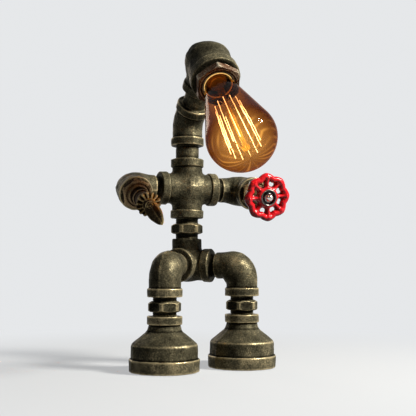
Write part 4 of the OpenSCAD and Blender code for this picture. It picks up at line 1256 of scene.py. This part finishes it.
def leaf():
    """The lever's blade: sections across it, one for each step v down its length, and its wear with a painted
    highlight.

    Its root is half a circle. The half-width swells from that by 0.6 mm and shrinks by the power
    1.8 towards the tip. Its front is a roof with a ridge down the middle, and its tip curls
    forwards by 1.5 v^3. The ridge and the other long edge are rubbed, and one long edge gets a broad
    painted highlight.
    """
    v = np.linspace(0, 1, 60)
    y = leaf_root - (lever_length + leaf_root) * v
    root = np.sqrt(np.clip(leaf_root ** 2 - y ** 2, 0, None))
    down = np.clip(-y / lever_length, 0, 1)
    swell = 0.6 * np.sin(np.pi * np.clip(down * 1.3, 0, 1))
    blade = leaf_root + swell - 4.0 * np.clip(1.7 * down - 0.7, 0, 1) ** 1.8
    end = np.clip((lever_length + y) / 3.4, 0, 1)
    wide = (np.where(y > 0, root, blade) * np.sqrt(1 - (1 - end) ** 2) + 0.02)[:, None]
    t = around(48)[None, :]
    across = np.cos(t) * wide
    rise = np.clip((leaf_root - y) / 8.0, 0.2, 1) * np.clip((lever_length + y) / 8, 0.3, 1)
    roof = leaf_ridge * rise[:, None] * (1 - np.abs(across) / wide) ** 0.85
    front = 0.5 + 0.5 * np.sign(np.sin(t)) * np.abs(np.sin(t)) ** 0.35
    z = leaf_base + (leaf_edge + roof) * front + (1.5 * v ** 3)[:, None]
    # painted highlight: a broad bright band along one long edge
    painted_highlight_edge = 1.5 * np.exp(-((across - wide) / 2.4) ** 2)
    other_edge = 0.5 * np.exp(-((across + wide) / 0.8) ** 2)
    rubbed = painted_highlight_edge + other_edge + 0.5 * np.exp(-(across / 0.6) ** 2) * (np.sin(t) > 0)
    return np.stack([across, y[:, None] + 0 * across, z], -1), rubbed - 0.3


grid, worn = leaf()
dark_leaf = bronzed_iron(
    "dark handled brass", (0.06, 0.042, 0.024), (0.9, 0.66, 0.28), 0.36, 0.34, 0.4)
piece(grid, worn, at_lever, dark_leaf, "lever", "lever_blade", False)

grid, worn = lathed([
    (axis_r, 2.2, 0.1), (1.55, 2.2, 0.2), (1.55, 8.0, 0.1), (3.0, 8.0, 0.3), (2.4, 8.9, 0.5),
    (axis_r, 9.2, 0.1),
], 0.4, 48)
piece(grid, worn - 0.6, at_lever, dark_leaf, "lever", "lever_screw")

# ---- Right hand --------------------------------------------------------------------------------
# A rotary switch in a brass housing, turned by a die-cast valve handwheel in red enamel. A steel
# ring and a domed nut hold the wheel on its spindle.

hand_bushing("right", 0.0)

wheel_reach = 30.0
housing_front = wheel_reach - 10.0
grid, worn = lathed([
    (3.4, -9.0, 0.2), (5.0, -9.0, 0.3), (5.0, 6.0, 0.2), (8.0, 6.0, 0.4), (8.0, housing_front, 0.8),
    (6.5, housing_front, 0.2), (6.5, 7.6, 0.2), (3.4, 7.4, 0.2),
], 0.5, 96)
piece(grid, worn, at_hand("right"), handled, "right_arm", "switch_housing")
small_nut(14.0, 3.0, housing_front, "right", "switch_nut")

at_wheel = at_hand("right") @ move(0, 0, wheel_reach)
spindle(-wheel_reach + 10.9, 7.0, at_wheel, "wheel", "wheel_spindle")

lobes = 8
wheel_turn = 7.0
ring_least_r = 17.2                                # of the ring's middle line, between two lobes
lobe_rise = 2.4
ring_half = 3.2
spoke_half = 1.7
web_half = 0.8
window_at = 13.2
window_r = 2.6
hub_r = 9.6
hub_half = 4.0
recess_r = 7.0


def enamel():
    """Thick red enamel: even colour, a wet gloss, slight orange peel, and painted shade that darkens the hollows.
    """
    finish, tree = new_finish("red enamel")
    cloud = mapped(tree, noise(tree, 120.0, 3.0), 0.0, 1.0, -0.1, 0.1)
    level = maths(tree, "ADD", wear_and_painted_light_of(tree), cloud)
    # the darkest stops carry painted shade
    colour = ramped(tree, level, (0.0, (0.012, 0.002, 0.002)), (0.2, (0.14, 0.002, 0.004)),
                    (0.5, (0.4, 0.004, 0.008)), (1.0, (0.6, 0.01, 0.016)))
    return finished(finish, {
        "Base Color": colour, "Roughness": 0.22, "Specular IOR Level": 0.22, "Coat Weight": 0.1,
        "Coat Roughness": 0.08, "Normal": bumped(tree, noise(tree, 700.0, 1.0), 0.12, 0.0002),
    })


def wheel_distance(points):
    """A lobed ring, a spoke to each lobe and a hub, blended into each other like a die casting.

    The ring's middle line bulges to each lobe and its section is an ellipse. The spokes are rods
    that swell towards both ends, and a thin web with round windows lies behind them.
    """
    x, y, z = points[..., 0], points[..., 1], points[..., 2]
    flat = np.hypot(x, y)
    t = np.arctan2(y, x) - math.radians(wheel_turn)
    half_lobe = np.pi / lobes
    near = (t + half_lobe) % (2 * half_lobe) - half_lobe
    out, side = np.cos(near) * flat, np.sin(near) * flat
    ring_r = ring_least_r + lobe_rise * (1 - (np.abs(near) / half_lobe) ** 1.3)
    ring = np.sqrt(((flat - ring_r) / 0.9) ** 2 + z ** 2) * 0.9 - ring_half
    spoke = np.hypot(side, (z - 0.2) / 1.6) - spoke_half - ((out - 13.0) / 6.5) ** 2
    spoke = np.maximum(spoke, np.maximum(6.0 - out, out - 19.0))
    web = np.maximum(np.abs(z + 1.0) - web_half, flat - 17.8)
    window = np.hypot(flat - window_at, (half_lobe - np.abs(near)) * flat) - window_r
    web = smooth_most(web, -window, 0.6)
    hub = smooth_most(flat - hub_r, np.abs(z) - hub_half, 1.4)
    body = smooth_least(ring, spoke, 1.6)
    body = smooth_least(body, web, 1.4)
    body = smooth_least(body, hub, 1.2)
    recess = smooth_most(flat - recess_r, 1.2 - z, 0.4)
    body = smooth_most(body, -recess, 0.5)
    return smooth_most(body, spindle_r - flat, 0.2)


red = enamel()
points, faces = skin(wheel_distance, (-24, -24, -5), (24, 24, 5), 0.42)
# painted shade: the enamel is darkened towards the back and in the corners, and the recess is painted nearly black
worn = 0.42 + 0.1 * points[:, 2] + 0.4 * curvature_wear(wheel_distance, points)
worn -= 0.9 * (np.hypot(points[:, 0], points[:, 1]) < recess_r - 0.1)
skinned(points, faces, worn, at_wheel, red, "wheel", "handwheel")

dull_steel = plain_metal("dull steel", (0.2, 0.185, 0.17), 0.34)
grid, worn = lathed([
    (6.6, 3.0, 0.2), (7.8, 3.9, 0.2), (7.8, 4.6, 0.4), (7.2, 5.0, 0.3), (6.6, 4.6, 0.3),
], 0.3, 96)
piece(grid, worn, at_wheel, dull_steel, "wheel", "wheel_ring")

polished = plain_metal("polished steel", (0.75, 0.7, 0.66), 0.16, 150.0)
grid, worn = lathed([
    (axis_r, 1.3, 0.05), (4.5, 1.3, 0.2), (4.5, 4.4, 0.6), (3.8, 4.8, 0.3), (3.7, 5.8, 0.8),
    (2.4, 8.2, 1.4), (axis_r, 9.2, 1.0),
], 0.3, 72, hexed(7.8, 1.31, 4.6, 10.0))
piece(grid, worn, at_wheel, polished, "wheel", "wheel_nut")

# ---- Inside and underneath ---------------------------------------------------------------------
# The pieces that the pipes hide keep their own plain shapes. Each gets the finish of what it is
# made of: iron, brass, steel, rubber, moulded black plastic or glazed porcelain.


def moulded(name, colour, roughness, grain, depth):
    """Moulded or glazed stuff: one colour, slightly clouded, with a fine grain."""
    finish, tree = new_finish(name)
    clouds = noise(tree, 90.0, 3.0)
    return finished(finish, {
        "Base Color": ramped(tree, clouds, (0.0, 0.75 * np.array(colour)), (1.0, colour)),
        "Roughness": roughness, "Normal": bumped(tree, noise(tree, grain), 0.4, depth),
    })


rubber = moulded("black rubber", (0.025, 0.025, 0.026), 0.7, 900.0, 0.0002)
phenolic = moulded("black phenolic", (0.03, 0.026, 0.024), 0.35, 500.0, 0.00005)
porcelain = moulded("glazed porcelain", (0.8, 0.78, 0.7), 0.15, 300.0, 0.00005)
hidden_finish = {
    "rubber": rubber, "black_plastic": phenolic, "porcelain": porcelain, "steel": steel,
    "bright_brass": bright_brass, "iron": iron, "worn_brass": handled, "brown_brass": reddish,
    "amber_glass": amber, "clear_glass": clear, "filament": glow, "red_enamel": red,
}
for entry in frame["record"]["subparts"]:
    solid = frame["nodes"][entry["node"]]
    solid.data.materials.clear()
    solid.data.materials.append(hidden_finish[entry["material_slot"]])
